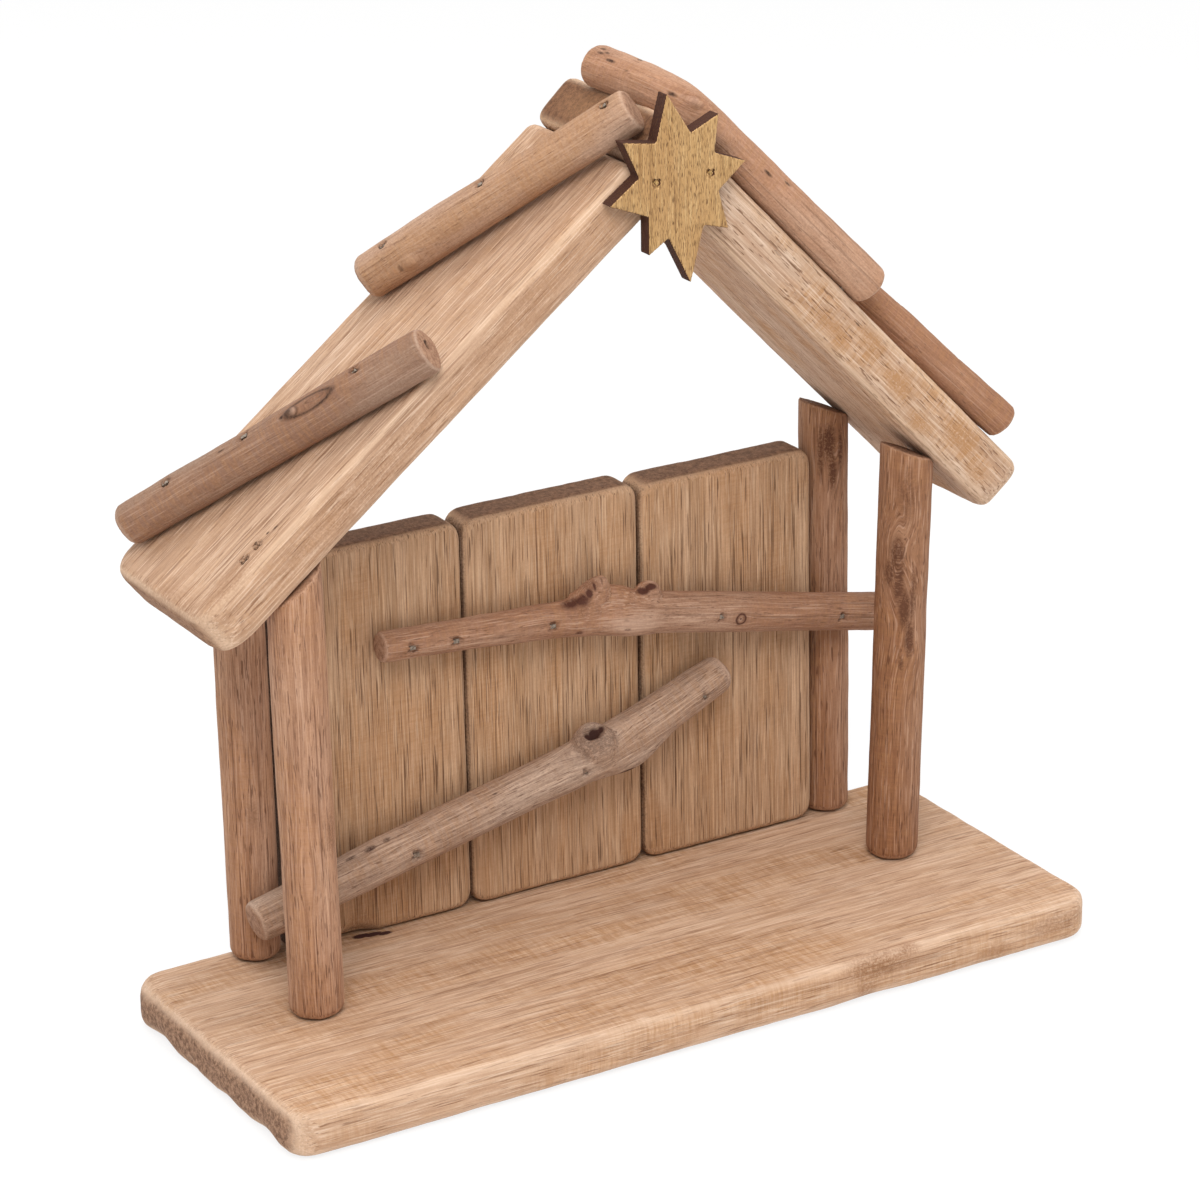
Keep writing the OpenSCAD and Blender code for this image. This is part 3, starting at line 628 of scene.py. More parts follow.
plankSettings = {
    "wall_plank_left": {
        "left": -92.5, "width": 64.1, "height": 129.2, "seed": 3, "pith": (0, 10, 42), "corners": (2.4, 5.5, 5.5, 5.5),
        "stains": [(0, 20, 0, (3, 14, 4), 0.8), (4, 24, 0, (5, 8, 4), 0.5)],
        "holes": [(0.5, 22, 0.5, (2.6, 6, 2.6), 1.6)], "dents": [(0, 22, 0, (5, 9, 5), -3.2)]},
    "wall_plank_middle": {"left": -28.1, "width": 62.6, "height": 129.2, "seed": 4, "pith": (0, 38, 50)},
    "wall_plank_right": {"left": 34.9, "width": 63.9, "height": 128.2, "seed": 5, "pith": (0, 46, 62)},
}
# the planks' sides along the grain get painted shade for the seams between them
wallSettings = {
    "thick": 14, "face": 41.05, "corners": (5.5, 5.5, 5.5, 5.5), "edge": 2.2, "voxel": 1.1, "edgeShare": 0.3,
    "seamShadeShare": 0.75, "uneven": ((0.5, (50, 20, 20), 0.6), (0.25, (14, 5, 5), 0.6)),
    "wood": {
        "light": (208, 171, 138), "dark": (174, 134, 100), "streak": (182, 143, 107), "fibre": (112, 76, 48),
        "patch": (190, 144, 104), "pore": (84, 52, 32), "end": (140, 105, 80), "endDark": (94, 65, 46),
        "fleck": (222, 192, 162), "pale": (208, 176, 146), "hole": (58, 30, 22), "ringGap": 6, "rings": 0.5,
        "streaks": 0.75, "fibres": 0.5, "pores": 0.75, "lines": 0.6, "flecks": 0.3, "patches": 0.6, "poreFineness": 2.4,
        "poreLength": 18, "waver": 8, "fineness": 1.5, "drift": 0.016},
}


def makePlank(name, s):
    place = placeOf((s["left"], s["face"], boardTop), (-90, -90, 0))
    piece = makeBoard(dict(s, size=(s["height"], s["width"], s["thick"])), place)
    material = woodMaterial(name.replace("wall_plank_", "plankWood"), dict(s["wood"], pith=s["pith"]), place)
    finishPiece(piece, name, "wall_wood", material)


for plankName, plank in plankSettings.items():
    makePlank(plankName, {**noMarks, **boardShape, **wallSettings, **plank})


# roof boards

leftRoof = placeOf((-129.113, -4.45, 135.06), (0, -37.7, 0))
rightRoof = placeOf((7.857, -4.45, 262.162), (0, 46.5, 0))  # its X runs down from the ridge
roofShape = {"edge": 3.4, "voxel": 1.1, "fine": 3, "uneven": ((0.6, (60, 25, 25), 0.6), (0.25, (12, 6, 6), 0.6))}
roofSettings = {
    "roof_board_left": {
        "size": (185.95, 60.5, 16.8), "corners": (7.5, 3.2, 3.2, 7.5), "seed": 6, "place": leftRoof,
        "slot": "roof_wood_left", "brads": ["roof_brads_left"], "dents": [(0, 0, 6, (12, 12, 12), -1.6)],
        "holes": [(37.2, 6.4, 16.2, (1.6, 0.6, 1.2), 1.4), (24, 6.5, 16.4, (2, 0.5, 1.2), 1.4),
                  (34.6, 7.4, 16.6, (1, 0.5, 1), 1.2), (30, 8.6, 16.8, (1, 0.6, 1), 1)],
        "stains": [(2, 20, 16, (8, 22, 3), 0.3), (186, 45, 14, (12, 10, 8), 0.5), (60, 0, 8, (52, 4, 8), 0.4),
                   (130, 0, 9, (44, 4, 7), 0.3), (14, 4, 16, (18, 7, 3), 0.35)],
        "wood": {
            "light": (206, 173, 146), "dark": (180, 143, 113), "streak": (188, 151, 122), "fibre": (138, 98, 70),
            "patch": (202, 162, 130), "scuff": (190, 146, 104), "pore": (122, 82, 54), "end": (164, 124, 94),
            "endDark": (116, 80, 56), "fleck": (236, 208, 184), "pale": (226, 196, 168), "ringGap": 3.4,
            "pith": (0, 20, -46), "rings": 0.5, "fibres": 0.5, "pores": 0.6, "flecks": 0.4, "poreShare": 0.35,
            "poreLength": 10, "waver": 4}},
    "roof_board_right": {
        "size": (187.46, 60.5, 18), "corners": (3.2, 7, 7, 3.2), "edge": 3.6, "seed": 7, "place": rightRoof,
        "slot": "roof_wood_right", "brads": ["roof_brads_right", "ridge_brads"],
        "dents": [(187, 0, 3, (9, 9, 9), -0.8)],
        "holes": [(184, 0.6, 2, (1.6, 1, 1), 1), (100, 0.2, 13, (1.2, 1, 0.6), 0.7), (60, 0.2, 11, (2.4, 1, 0.5), 0.6)],
        "stains": [(187, 30, 9, (5, 26, 8), 0.35), (0, 30, 9, (4, 30, 9), 0.4), (158, 0, 11, (12, 3, 5), 0.9),
                   (142, 0, 5, (8, 3, 4), 0.8), (126, 0, 9, (9, 3, 5), 0.9), (108, 0, 12, (8, 3, 4), 0.8),
                   (92, 0, 7, (10, 3, 3), 0.7), (172, 0, 6, (7, 3, 4), 0.7)],
        "wood": {
            "light": (212, 184, 160), "dark": (186, 150, 123), "streak": (196, 161, 134), "fibre": (138, 99, 70),
            "patch": (200, 158, 120), "scuff": (184, 134, 82), "pore": (112, 74, 48), "end": (132, 92, 64),
            "endDark": (90, 58, 38), "fleck": (232, 208, 186), "pale": (220, 190, 160), "ringGap": 2.8,
            "pith": (0, 24, 44), "rings": 0.5, "streaks": 0.7, "fibres": 0.5, "pores": 0.75, "lines": 0.6,
            "stain": (172, 128, 88), "flecks": 0.4, "scuffs": 0.8, "poreLength": 5, "waver": 4, "fineness": 1.2}},
}


def makeRoofBoard(name, s):
    piece = makeBoard(s, s["place"])
    for brads in s["brads"]:
        pressIn(piece, brads)
    material = woodMaterial(name.replace("roof_board_", "roofWood"), s["wood"], s["place"])
    finishPiece(piece, name, s["slot"], material)


for boardName, roofBoard in roofSettings.items():
    makeRoofBoard(boardName, {**boardShape, **roofShape, **roofBoard})


# round sticks, limbs and their stubs

def ringsFor(length, start, end, worn, extra=(), bend=0.35):  # (along, diameter), with both ends worn round
    a, b = worn
    ends = [(0, start - 2 * a), (bend * a, start - 2 * bend * a), (a, start)]
    ends += [(length - b, end), (length - bend * b, end - 2 * bend * b), (length, end - 2 * b)]
    return sorted(ends + list(extra))


def straightLimb(rings, sides=20):  # a limb along X, from rings of (along, diameter)
    bpy.ops.mesh.primitive_circle_add(vertices=sides, radius=rings[0][1] / 2 * mm, fill_type="NGON",
                                      location=(rings[0][0] * mm, 0, 0), rotation=(0, math.pi / 2, 0))
    piece = bpy.context.object
    freeze(piece)
    toEdit()
    selectAll()
    for (x0, d0), (x1, d1) in zip(rings, rings[1:]):
        bpy.ops.mesh.extrude_region_move(TRANSFORM_OT_translate={"value": ((x1 - x0) * mm, 0, 0)})
        bpy.ops.transform.resize(value=(1, d1 / d0, d1 / d0), center_override=(x1 * mm, 0, 0))
    selectAll()
    bpy.ops.mesh.normals_make_consistent(inside=False)
    toObject()
    return piece


def addStub(piece, along, turn, rings, lean, sides=14):  # a torn side branch, turned from the limb's side to its top
    place = (placeOf((along, 0, 0)) @ Matrix.Rotation(math.radians(turn), 4, "X")
             @ Matrix.Rotation(math.radians(90 - lean), 4, "Z"))
    stub = straightLimb(rings, sides)
    moveTo(stub, place)
    pickOnly(piece)
    stub.select_set(True)
    bpy.ops.object.join()


def rememberAlong(piece, axis=0):  # keeps each spot's place along and across a limb before it is bent and turned
    found = places(piece) * mm
    found[:, 2] -= axis * mm
    layer = piece.data.attributes.new("along", "FLOAT_VECTOR", "POINT")
    layer.data.foreach_set("vector", found.ravel())


def turnGrain(piece, knots, axis=0, deep=5):  # the grain parts by push round a knot, or slants across it
    layer = piece.data.attributes["along"]
    values = readRows(layer.data, "vector")
    found = places(piece)
    for x, y, z, reach, width, push, slant in knots:
        away = found - np.array((x, y, z))
        out = np.array((0, y, z - axis)) / math.hypot(y, z - axis)
        across = np.cross((1, 0, 0), out)
        side = away @ across
        near = np.exp(-(away[:, 0] / reach) ** 2 - (side / width) ** 2) * (away @ out > -deep)
        shift = near * (slant * away[:, 0] - push * np.tanh(side))
        values += np.outer(shift, across) * mm
    layer.data.foreach_set("vector", values.ravel())


def bentPath(start, kink, end, ease, place=Matrix(), steps=16):  # a way from start to end, eased round its kink
    start, kink, end = (place @ (Vector(v) * mm) for v in (start, kink, end))
    before, after = (kink - start).normalized() * ease * mm, (end - kink).normalized() * ease * mm
    path = [start.lerp(kink - before, i / steps) for i in range(steps)]
    for i in range(steps + 1):
        t = i / steps
        path.append((kink - before).lerp(kink, t).lerp(kink.lerp(kink + after, t), t))
    return path + [(kink + after).lerp(end, (i + 1) / steps) for i in range(steps)]


def layAlong(piece, path):
    curve = bpy.data.curves.new("way", "CURVE")
    curve.dimensions = "3D"
    curve.twist_mode = "Z_UP"
    spline = curve.splines.new("POLY")
    spline.points.add(len(path) - 1)
    for point, spot in zip(spline.points, path):
        point.co = (*spot, 1)
    way = bpy.data.objects.new("way", curve)
    bpy.context.scene.collection.objects.link(way)
    useModifier(piece, "CURVE", object=way, deform_axis="POS_X")
    bpy.data.objects.remove(way)


# posts

leftTop = [((19.481, 0, 249.721), (-0.6115, 0, 0.7912))]
rightTop = ((7.857, 0, 262.162), (0.7254, 0, 0.6884))  # the underside of the right roof board
postSettings = {
    "post_front_left": {
        "foot": (-103.4, 2.85), "d": 17, "lean": -0.5, "tops": leftTop, "seed": 21, "tint": 8,
        "brads": ["roof_brads_left"], "stains": [(60, -6, -4, (10, 4, 4), 0.4)], "turns": [(48, -7, 4, 10, 4, 1.2, 0)]},
    "post_front_right": {
        "foot": (105.4, 5.05), "d": 17, "lean": 2.1, "seed": 22, "tint": -24,
        "tops": [rightTop, ((118.997, 0, 147.1), (0.4067, 0, 0.9135))], "brads": ["roof_brads_right"],
        "dents": [(93, -6.5, 4.5, (13, 3, 2.4), -1), (78, -8, 1.5, (9, 3, 2.2), -0.9),
                  (100, -4.5, 7, (5, 2.4, 2.4), -0.6)],
        "turns": [(92, -6, 5, 17, 7, 1.6, 0.4), (74, -8, 1, 8, 4, 1.4, 0.3), (112, -6, 5, 9, 5, 1.2, -0.3)],
        "stains": [(104, -6, 6, (8, 4, 2.6), 1), (94, -6, 5, (9, 3, 2), 1.4), (86, -7, 3.4, (8, 3, 2), 1.4),
                   (76, -8, 1.6, (8, 3, 2), 1.2), (98, -4, 7.4, (6, 3, 1.6), 1.1), (90, -8, 1, (12, 3, 1.2), 0.9),
                   (68, -7, 4, (4, 3, 1), 0.9), (124, -7, 4, (12, 5, 4), 0.5)]},
    "post_back_left": {
        "foot": (-101.4, 47.95), "d": 16.2, "lean": 0, "tops": leftTop, "seed": 23, "tint": 8, "brads": ["brace_brads"],
        "stains": [(50, -8, 2, (6, 4, 3), 0.3)]},
    "post_back_right": {
        "foot": (107.5, 47.95), "d": 16.2, "lean": 0, "seed": 24, "tint": -9,
        "tops": [rightTop, ((112.6, 0, 151.78), (0.3872, 0, 0.922))], "brads": ["rail_brads"],
        "turns": [(126, -8, 0, 10, 5, 1.6, 0.3), (60, -8, 1, 14, 4, 1.2, 0)],
        "stains": [(129, -7.6, 2.6, (8, 4, 2.8), 1.3), (119, -8, 1.5, (8, 3, 1.8), 1.2),
                   (126, -8, -1.4, (10, 3, 1.4), 1.1), (126, -6.4, 5, (12, 3, 1.2), 1)]},
}
postShape = {  # the rings say how far along they are and how much narrower than the post
    "rings": [(0, 4.6), (0.5, 2), (2.2, 0), (60, 0), (120, 0), (175, 0)], "voxel": 0.8, "smooth": 5,
    "uneven": ((0.7, (40, 12, 12), 0.6), (0.25, (12, 3.5, 3.5), 0.6)), "rimShare": 0.45, "endReach": 12,
}
postWood = {
    "light": (192, 152, 124), "dark": (164, 120, 92), "streak": (174, 130, 100), "fibre": (112, 70, 46),
    "patch": (170, 122, 88), "pore": (86, 48, 30), "end": (150, 112, 86), "endDark": (104, 72, 52),
    "fleck": (210, 172, 146), "pale": (198, 160, 134), "stain": (94, 58, 38), "streaks": 0.7, "pores": 0.65,
    "flecks": 0.3, "patches": 0.6, "ringGap": 2.6, "waver": 6, "poreShare": 0.42, "poreFineness": 2.6, "poreLength": 6,
    "fineness": 1.3, "drift": 0.04, "pith": (0, 4, 3),
}


def makePost(name, s):
    piece = straightLimb([(along, s["d"] - less) for along, less in s["rings"]])
    sink = s["d"] / 2 * abs(math.sin(math.radians(s["lean"])))
    place = placeOf(Vector((*s["foot"], boardTop)) - Vector((0, 0, sink)), (0, s["lean"] - 90, 0))
    moveTo(piece, place)
    for point, facing in s["tops"]:
        sawOff(piece, point, facing)
    moveTo(piece, place.inverted())
    remesh(piece, s["voxel"], s["smooth"])
    roughen(piece, s["uneven"], s["seed"])
    swell(piece, s["dents"])
    rememberAlong(piece)
    turnGrain(piece, s["turns"])
    paintLimbEnds(piece, s["rimShare"], s["endReach"])
    paint(piece, 1, s["stains"])
    moveTo(piece, place)
    if s["lean"]:
        sawOff(piece, (0, 0, boardTop), (0, 0, -1))
    for brads in s["brads"]:
        pressIn(piece, brads)
    wood = dict(postWood)
    for key in ("light", "dark", "streak", "patch"):
        wood[key] = [v + s["tint"] for v in wood[key]]
    finishPiece(piece, name, "post_wood", woodMaterial(name.replace("post_", "postWood_"), wood))


for postName, post in postSettings.items():
    makePost(postName, {**noMarks, **postShape, **post})


# straight branches on the roof

stickSettings = {
    "roof_branch_left_lower": {
        "length": 109.5, "start": 13.4, "end": 14.4, "worn": (2.6, 1.3), "seed": 31, "slot": "branch_wood_left",
        "place": leftRoof @ placeOf((10.9, 56.8, 16.95), (0, 0, -31.5)), "brads": "branch_brads_left_lower",
        "swells": [(68, -2, 12, (16, 7, 6), 0.6), (65, -2.3, 13.6, (3, 2, 2), 1.1)],
        "dents": [(109.5, 0.3, 8, (2.6, 1.7, 1.7), -2.4), (70.5, -4.2, 12.6, (8, 1.2, 1.2), -0.5)],
        "knots": [(71, -2.4, 13.4, (10, 3, 2.8), 1.1), (73.5, -2.2, 13.6, (4, 0.9, 1.4), 0.7),
                  (65.4, -2.4, 13.6, (2.6, 2, 2), 0.9)],
        "turns": [(70.5, -2.4, 13.4, 9, 4, 1.8, 0)], "pales": [(65.6, -2.4, 14, (2, 1.6, 1.6), 0.9)],
        "holes": [(109, 0.3, 8.6, (3, 1.8, 2.3), 2.2), (61.8, -2, 13.3, (1.6, 1, 1), 1.4),
                  (85, -4.6, 11.6, (1.6, 0.9, 0.9), 1.2), (88, -1, 13.8, (2.4, 0.8, 0.8), 1.2),
                  (40, -1, 13.6, (2, 0.7, 0.7), 0.9)],
        "wood": {
            "light": (159, 133, 113), "dark": (137, 106, 87), "streak": (145, 114, 95), "patch": (141, 106, 86),
            "fibres": 0.22, "pores": 0.2, "speckle": 0.4}},
    "roof_branch_left_upper": {
        "length": 97.5, "start": 14, "end": 14, "worn": (2.6, 1.6), "seed": 32, "slot": "branch_wood_left",
        "place": leftRoof @ placeOf((197.95, 5.9, 18.45), (0, 0, -29.5)) @ placeOf((0, 0, 0), (0, -0.88, 0))
            @ placeOf((-97.5, 0, 0)),
        "brads": "branch_brads_left_upper",
        "swells": [(30, 0, 12, (25, 10, 10), 0.5), (17, -6.6, 7.7, (3.6, 2.8, 2.8), 1.2)],
        "holes": [(13.6, -6.8, 7.7, (1, 1.4, 1.8), 0.8)], "turns": [(17, -6.6, 7.7, 6, 4, 1.4, 0)],
        "wood": {
            "light": (200, 167, 144), "dark": (173, 137, 112), "streak": (183, 147, 120), "patch": (180, 140, 106)}},
    "roof_branch_right_lower": {
        "length": 67.5, "start": 12, "end": 12, "worn": (1.4, 1.2), "seed": 33, "slot": "branch_wood_right",
        "place": rightRoof @ placeOf((105.17, 19.73, 18.15), (0, 0, -14)), "brads": "branch_brads_right_lower",
        "swells": [(20, 0, 12, (20, 10, 10), 0.4)],
        "wood": {"light": (173, 132, 106), "dark": (148, 106, 80), "streak": (160, 118, 92), "patch": (154, 108, 80)}},
}
limbShape = {"voxel": 0.65, "smooth": 3}
knotShape = {"reach": 6, "cuts": 2, "ring": 0.8, "stainSize": 1.5, "stain": 0.5}
stickShape = {"uneven": ((0.8, (35, 9, 9), 0.6), (0.3, (8, 3, 3), 0.6))}
stickWood = {
    "fibre": (118, 80, 58), "pore": (88, 54, 38), "end": (172, 134, 108), "endDark": (134, 98, 76),
    "fleck": (216, 184, 160), "pale": (206, 174, 152), "stain": (120, 80, 58), "rings": 0.2, "streaks": 0.7,
    "fibres": 0.3, "pores": 0.35, "lines": 0.3, "flecks": 0.16, "patches": 0.8, "speckle": 0.3, "ringGap": 2.4,
    "waver": 5, "poreShare": 0.2, "poreFineness": 2.2, "poreLength": 3, "fineness": 1.2, "drift": 0.08,
    "pith": (0, 1.5, 1),
}


def drawKnots(piece, knots, holes):  # a dark thin ring round each knot, and small dark holes
    refine(piece, [*knots, *holes], knotShape["reach"], knotShape["cuts"])
    for x, y, z, size, strength in knots:
        paint(piece, 0, [(x, y, z, size, strength, knotShape["ring"])])
        paint(piece, 1, [(x, y, z, [v * knotShape["stainSize"] for v in size], knotShape["stain"])])
    paint(piece, 0, holes)


def markBranch(piece, s, axis=0):
    rememberAlong(piece, axis)
    turnGrain(piece, s["turns"], axis)
    paintLimbEnds(piece)
    paint(piece, 1, s["shades"])
    drawKnots(piece, s["knots"], s["holes"])
    paint(piece, 2, s["pales"])
    swell(piece, s["dents"])


def makeStick(name, s):
    piece = straightLimb(ringsFor(s["length"], s["start"], s["end"], s["worn"]))
    slope = math.degrees(math.atan((s["end"] - s["start"]) / 2 / s["length"]))
    axis = s["start"] / 2
    moveTo(piece, placeOf((0, 0, axis), (0, -slope, 0)))
    remesh(piece, s["voxel"], s["smooth"])
    roughen(piece, s["uneven"], s["seed"])
    swell(piece, s["swells"])
    markBranch(piece, s, axis)
    moveTo(piece, s["place"])
    pressIn(piece, s["brads"])
    material = woodMaterial(name.replace("roof_branch_", "stickWood_"), dict(stickWood, **s["wood"]))
    finishPiece(piece, name, s["slot"], material)


for stickName, stick in stickSettings.items():
    makeStick(stickName, {**noMarks, **limbShape, **stickShape, **stick})


# bent branches

bentSettings = {
    "roof_branch_ridge": {
        "path": bentPath((-2.8, 45.4, 22), (2.5, 9, 24.5), (97.3, 3.6, 24.6), 17, rightRoof),
        "rings": [(0, 13.6), (25, 13.1), (45, 12.8), (66, 12.8), (100, 13), (132, 13.2)], "worn": (1.6, 1.3),
        "seed": 41,
        "swells": [(38, 0, 6, (12, 8, 8), 0.6), (39, -4.6, 4, (2.4, 2, 2), 1), (44, -5.6, 1, (2.4, 2, 2), 1)],
        "shades": [(6, -2, 6, (9, 4, 3), 0.4), (40, -4, 5, (8, 4, 4), 0.35)],
        "turns": [(39, -4.6, 4, 5, 3, 1.2, 0), (44, -5.6, 1, 5, 3, 1.2, 0)],
        "pales": [(39, -4.6, 4.4, (2.2, 1.8, 1.8), 0.5)],
        "holes": [(39, -3.2, 5.8, (1.2, 1, 1), 0.4), (44, -4.6, 3.4, (1.4, 0.8, 0.8), 0.4),
                  (6, -3, 6, (2.4, 0.9, 0.9), 1.2), (8, -2, 6.3, (1.8, 0.8, 0.8), 1.1), (12, -4, 5, (3, 0.8, 0.8), 1.1),
                  (5, -1, 6.5, (2, 0.8, 0.8), 1), (20, -5, 4.4, (2, 0.8, 0.8), 1), (34, -5.4, 3.6, (1.6, 1, 1), 1),
                  (70, -6, 2, (2.6, 0.8, 0.8), 1), (78, -5, 4, (2, 0.7, 0.7), 0.9)],
        "brads": "branch_brads_ridge", "slot": "branch_wood_right",
        "wood": {
            "light": (201, 162, 135), "dark": (175, 133, 106), "streak": (185, 143, 114), "patch": (180, 133, 104)}},
    "rail_branch": {
        "path": bentPath((-60.96, 36, 111.66), (17.5, 34.51, 107), (121.61, 33.72, 85.06), 24),
        "rings": [(0, 9.8), (10, 9.9), (40, 10.8), (62, 12), (72, 13.4), (82, 13.8), (92, 14), (105, 13.2), (140, 12.9),
                  (185, 12.4)],
        "worn": (1.2, 1.5), "seed": 42,
        "stubs": [(69.5, 100, [(0, 13), (5, 12.8), (8, 9.4), (11.4, 6), (14.4, 2.4)], 24),
                  (93, 100, [(0, 9.8), (7, 8.8), (9, 7), (10.4, 4.4)], 0)],
        "swells": [(79, 0, 8, (10, 8, 7), 3), (84, 0, 7, (11, 7, 5), 1.4), (86, -4, -5, (12, 6, 6), 0.9),
                   (124, 0, 0, (4, 9, 9), 0.5)],
        "dents": [(65, -2.6, 7.6, (4.4, 3, 3), -1), (90.2, -2.8, 8.8, (3, 2.4, 2.2), -1.6),
                  (125.6, -6.4, -0.6, (1.2, 1, 1), -0.4)],
        "turns": [(70, -3, 8, 8, 6, 1.5, 0.3), (125.6, -6, -0.6, 5, 3, 1.2, 0), (92, -3, 8, 6, 4, 1.5, 0)],
        "pales": [(93.6, -1, 11, (3.4, 2.4, 1.4), 0.7), (86, -6, -2, (12, 4, 4), 0.35),
                  (125.6, -6.4, -0.6, (1, 0.9, 0.9), 0.6)],
        "knots": [(125.6, -6.2, -0.6, (2.2, 2, 2.1), 1.5)],
        "shades": [(66, -5, 6, (8, 5, 5), 0.5), (72, -3, 10.4, (3, 3, 3), 0.8), (92, -2, 7, (6, 4, 3), 0.4)],
        "holes": [(125.6, -6.6, -0.6, 0.6, 1), (64.4, -3, 6.4, (4.8, 3.6, 3.2), 1.25),
                  (67.6, -4.2, 7, (3.8, 3.2, 3), 1.25), (70.2, -4.2, 8.8, (1.4, 2.2, 2.2), 1.6),
                  (72, -3.4, 10.4, (0.6, 2, 2.4), 1.3), (74.4, -3, 11.6, (0.6, 2, 2), 1.3),
                  (89.6, -3, 8.2, (3, 2.6, 1.8), 2), (92, -3.2, 9.4, (2.6, 2.2, 1.3), 2),
                  (67, -5.4, -3.4, (2, 1.2, 1.2), 1), (74, -6, -3.8, (3, 1, 0.8), 0.8),
                  (84, -6.4, -3.4, (2, 0.8, 0.8), 0.7)],
        "brads": "rail_brads", "slot": "rail_bark",
        "wood": {
            "light": (189, 155, 131), "dark": (159, 124, 100), "streak": (169, 132, 107), "patch": (162, 118, 92),
            "fibres": 0.5, "pores": 0.5, "flecks": 0.25, "poreShare": 0.3, "poreFineness": 2.8, "hole": (78, 44, 32)}},
    "brace_branch": {
        "path": bentPath((-108.76, 32.89, 33.26), (22.5, 33.5, 62.6), (60.98, 34.61, 78.15), 16),
        "rings": [(0, 13.6), (45, 14), (100, 14.4), (125, 15.2), (140, 15), (155, 13.8), (176, 12.8)], "worn": (1.8, 3),
        "seed": 43, "stubs": [(123.8, 113, [(0, 16), (6.4, 14.6), (8.8, 12.4), (10, 10), (10.5, 8.4)], 0)],
        "swells": [(135, -2, -6.5, (15, 8, 7), 3), (44, 0, 7, (12, 6, 4), 0.6), (118, -2, 6, (6, 5, 5), 0.6),
                   (129, -6, 4, (7, 5, 5), 0.8)],
        "dents": [(124, -3.8, 9.6, (4.2, 3, 3), -3.4), (121, -5.4, 8, (1.6, 1.6, 1.6), -0.6)],
        "turns": [(124, -4.6, 8, 10, 6, 3, 0), (134, -5, -5, 10, 5, 1.5, 0)],
        "shades": [(123, -5, 7.2, (9, 7, 6.8), 0.9), (124, -4.6, 8, (7.4, 6, 6), 0.8, 0.75),
                   (135, -4, -6, (9, 5, 3), 0.3)],
        "holes": [(122.2, -3.8, 9.4, (2.4, 2.2, 2), 1.6), (124.6, -3.4, 9.8, (2.6, 2, 2), 1.8),
                  (126.9, -3.6, 9.4, (1.7, 1.6, 1.6), 1.5), (124.4, -5.4, 8.8, (1, 1.4, 1), 1.2),
                  (118.2, -6.6, 4.4, (1.6, 2, 3), 0.35), (129.6, -6.2, 4.6, (0.9, 3, 3.4), 0.4),
                  (130.5, -5.2, -8.4, (4, 1.8, 1.4), 1.6), (42, -2.4, 6.8, (3, 1.4, 1.2), 1),
                  (48, -2, 6.8, (2, 1.2, 1), 0.8), (35, -2, 6.6, (3, 1.2, 1), 0.8),
                  (86, -4, 5.6, (1.2, 0.6, 0.6), 0.8)],
        "brads": "brace_brads", "slot": "brace_bark",
        "wood": {
            "light": (205, 179, 159), "dark": (175, 147, 127), "streak": (183, 155, 134), "patch": (178, 146, 123),
            "fibre": (112, 84, 66), "fibres": 0.55, "pores": 0.6, "flecks": 0.35, "hole": (60, 32, 24),
            "stain": (120, 96, 82), "poreShare": 0.4, "poreFineness": 3.2, "fineness": 1.4, "poreLength": 5,
            "drift": 0.04}},
}
bentShape = {"bare": 3, "uneven": ((0.8, (30, 8, 8), 0.6), (0.35, (8, 3, 3), 0.6))}


def makeBent(name, s):
    length = sum((b - a).length for a, b in zip(s["path"], s["path"][1:])) / mm
    a, b = s["worn"]
    middle = [(x, d) for x, d in s["rings"] if a < x < length - b - s["bare"]]
    piece = straightLimb(ringsFor(length, s["rings"][0][1], s["rings"][-1][1], s["worn"], middle))
    for along, turn, rings, lean in s["stubs"]:
        addStub(piece, along, turn, rings, lean)
    remesh(piece, s["voxel"], s["smooth"])
    swell(piece, s["swells"])
    roughen(piece, s["uneven"], s["seed"])
    markBranch(piece, s)
    layAlong(piece, s["path"])
    pressIn(piece, s["brads"])
    finishPiece(piece, name, s["slot"], woodMaterial(name + "Wood", dict(stickWood, **s["wood"])))


for bentName, bent in bentSettings.items():
    makeBent(bentName, {**noMarks, **limbShape, **bentShape, **bent})


# star

starSettings = {
    "outline": [(16.35, 282.4), (24.3, 269.5), (33.95, 273.75), (32.4, 262.25), (43.1, 258.1), (33.7, 250.5),
                (37, 238.4), (28.4, 240.8), (23.65, 223.8), (16.3, 238.8), (9.4, 234.5), (9.6, 246.3), (-3.5, 251.5),
                (6.5, 258.6), (1.3, 269.9), (12.4, 268.1)],
    "middle": (20, 254.9), "front": -9.6, "thick": 5, "voxel": 0.36, "smooth": 2, "frontFacing": 0.6, "grainFrom": 225,
    "bradPits": {"radius": 1.1, "depth": 0.9, "darkness": 0.15, "stain": 0},
}
starShade, starRim = (150, 108, 58), (60, 30, 20)
gilding = {
    "light": (198, 158, 108), "dark": starShade, "streak": starShade, "fibre": starShade,
    "patch": (214, 178, 122), "pore": (92, 58, 30), "end": starRim, "endDark": starRim, "fleck": (232, 200, 148),
    "pale": (230, 198, 146), "hole": (120, 78, 30), "rings": 0.1, "streaks": 0.3, "fibres": 0.25, "pores": 0.75,
    "lines": 0.3, "flecks": 0.3, "scuffs": 0, "patches": 0.35, "fineness": 0.8, "poreShare": 0.7, "poreFineness": 4.4,
    "poreLength": 2.4, "roughness": 0.48, "metallic": 0.35, "pith": (0, 30, 60),
}
burntEdge = dict(gilding, light=starRim, dark=(40, 20, 14), streak=(50, 26, 18), fibre=(78, 44, 30),
                 patch=(72, 38, 26), fleck=(90, 54, 38), roughness=0.8, metallic=0)


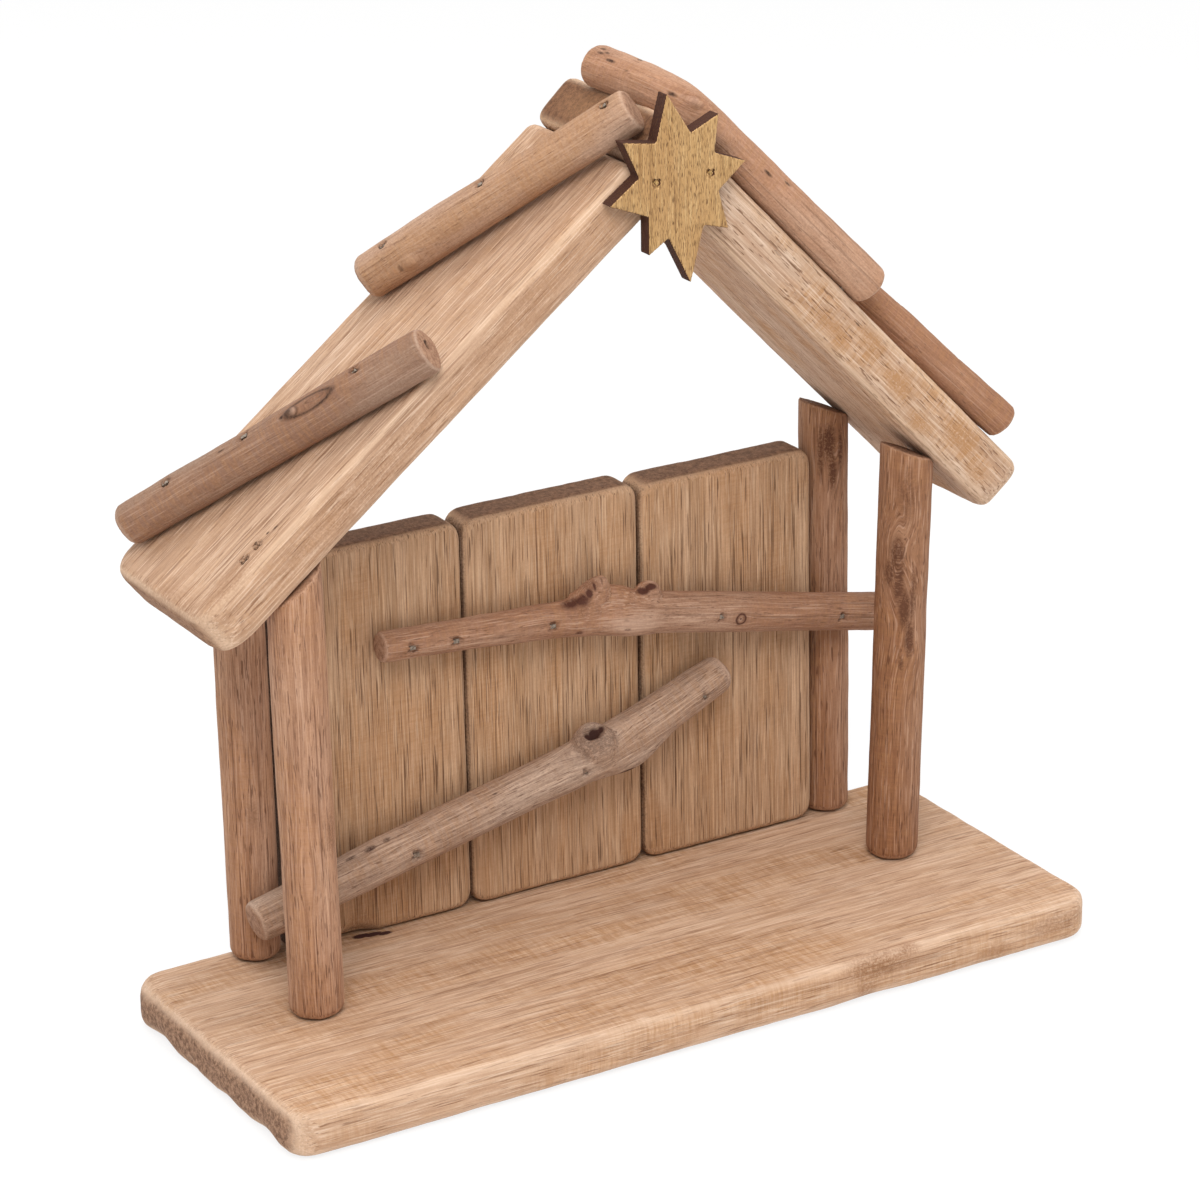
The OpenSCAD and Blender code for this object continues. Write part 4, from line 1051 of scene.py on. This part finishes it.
def makeStar(s):
    bpy.ops.mesh.primitive_circle_add(vertices=len(s["outline"]), radius=s["thick"] * mm, fill_type="NGON",
                                      rotation=(math.pi / 2, 0, 0))
    piece = bpy.context.object
    freeze(piece)
    order = sorted(piece.data.vertices, key=lambda v: math.atan2(v.co.x, v.co.z))
    midX, midZ = s["middle"]
    spots = sorted(s["outline"], key=lambda p: math.atan2(p[0] - midX, p[1] - midZ))
    for vertex, (x, z) in zip(order, spots):
        vertex.co = (x * mm, (s["front"] + s["thick"]) * mm, z * mm)
    toEdit()
    selectAll()
    bpy.ops.mesh.extrude_region_move(TRANSFORM_OT_translate={"value": (0, -s["thick"] * mm, 0)})
    selectAll()
    bpy.ops.mesh.normals_make_consistent(inside=False)
    toObject()
    remesh(piece, s["voxel"], s["smooth"])
    pressIn(piece, "star_brads", **s["bradPits"])
    place = placeOf((midX, s["front"], s["grainFrom"]), (-90, -90, 0))
    finishPiece(piece, "star", "star_gilding", woodMaterial("starGilding", gilding, place),
                woodMaterial("starEdge", burntEdge, place))
    faces = piece.data.polygons
    facing = readRows(faces, "normal")[:, 1]
    faces.foreach_set("material_index", (facing > -s["frontFacing"]).astype(int))


makeStar(starSettings)


# brads and nails keep their own solids

metalSettings = {
    "bradSteel": {"colour": (150, 137, 124), "worn": (92, 76, 62), "roughness": 0.5},
    "bradGold": {"colour": (206, 170, 112), "worn": (120, 86, 46), "roughness": 0.4},
}
metalShared = {
    "metallic": 0.8, "wearScale": 1600, "wearDetail": 4, "wearRough": 0.6, "wearFrom": 0.42, "wearTo": 0.66,
    "bump": 0.3, "bumpDepth": 0.0001,
}


def metalMaterial(name, s):
    material, tree, shader = newMaterial(name)
    found = addNode(tree, "ShaderNodeTexCoord").outputs["Object"]
    fine = addNode(tree, "ShaderNodeMapping", {"Vector": found, "Scale": [s["wearScale"]] * 3}).outputs[0]
    worn = spread(tree, noise(tree, fine, s["wearDetail"], s["wearRough"]), s["wearFrom"], s["wearTo"])
    colour = mixColour(tree, worn, rgb(*s["colour"]), rgb(*s["worn"]))
    fillIn(tree, shader, {"Base Color": colour, "Metallic": s["metallic"], "Roughness": s["roughness"]})
    addBump(tree, shader, worn, s["bump"], s["bumpDepth"])
    return material


metals = {name: metalMaterial(name, {**metalShared, **metal}) for name, metal in metalSettings.items()}
for nodeName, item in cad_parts.items():
    if nodeName.endswith(("_brads", "_nails")) or "_brads_" in nodeName:
        for slot in item.material_slots:
            slot.material = metals["bradGold" if nodeName == "star_brads" else "bradSteel"]
print("brads and nails have their metal")
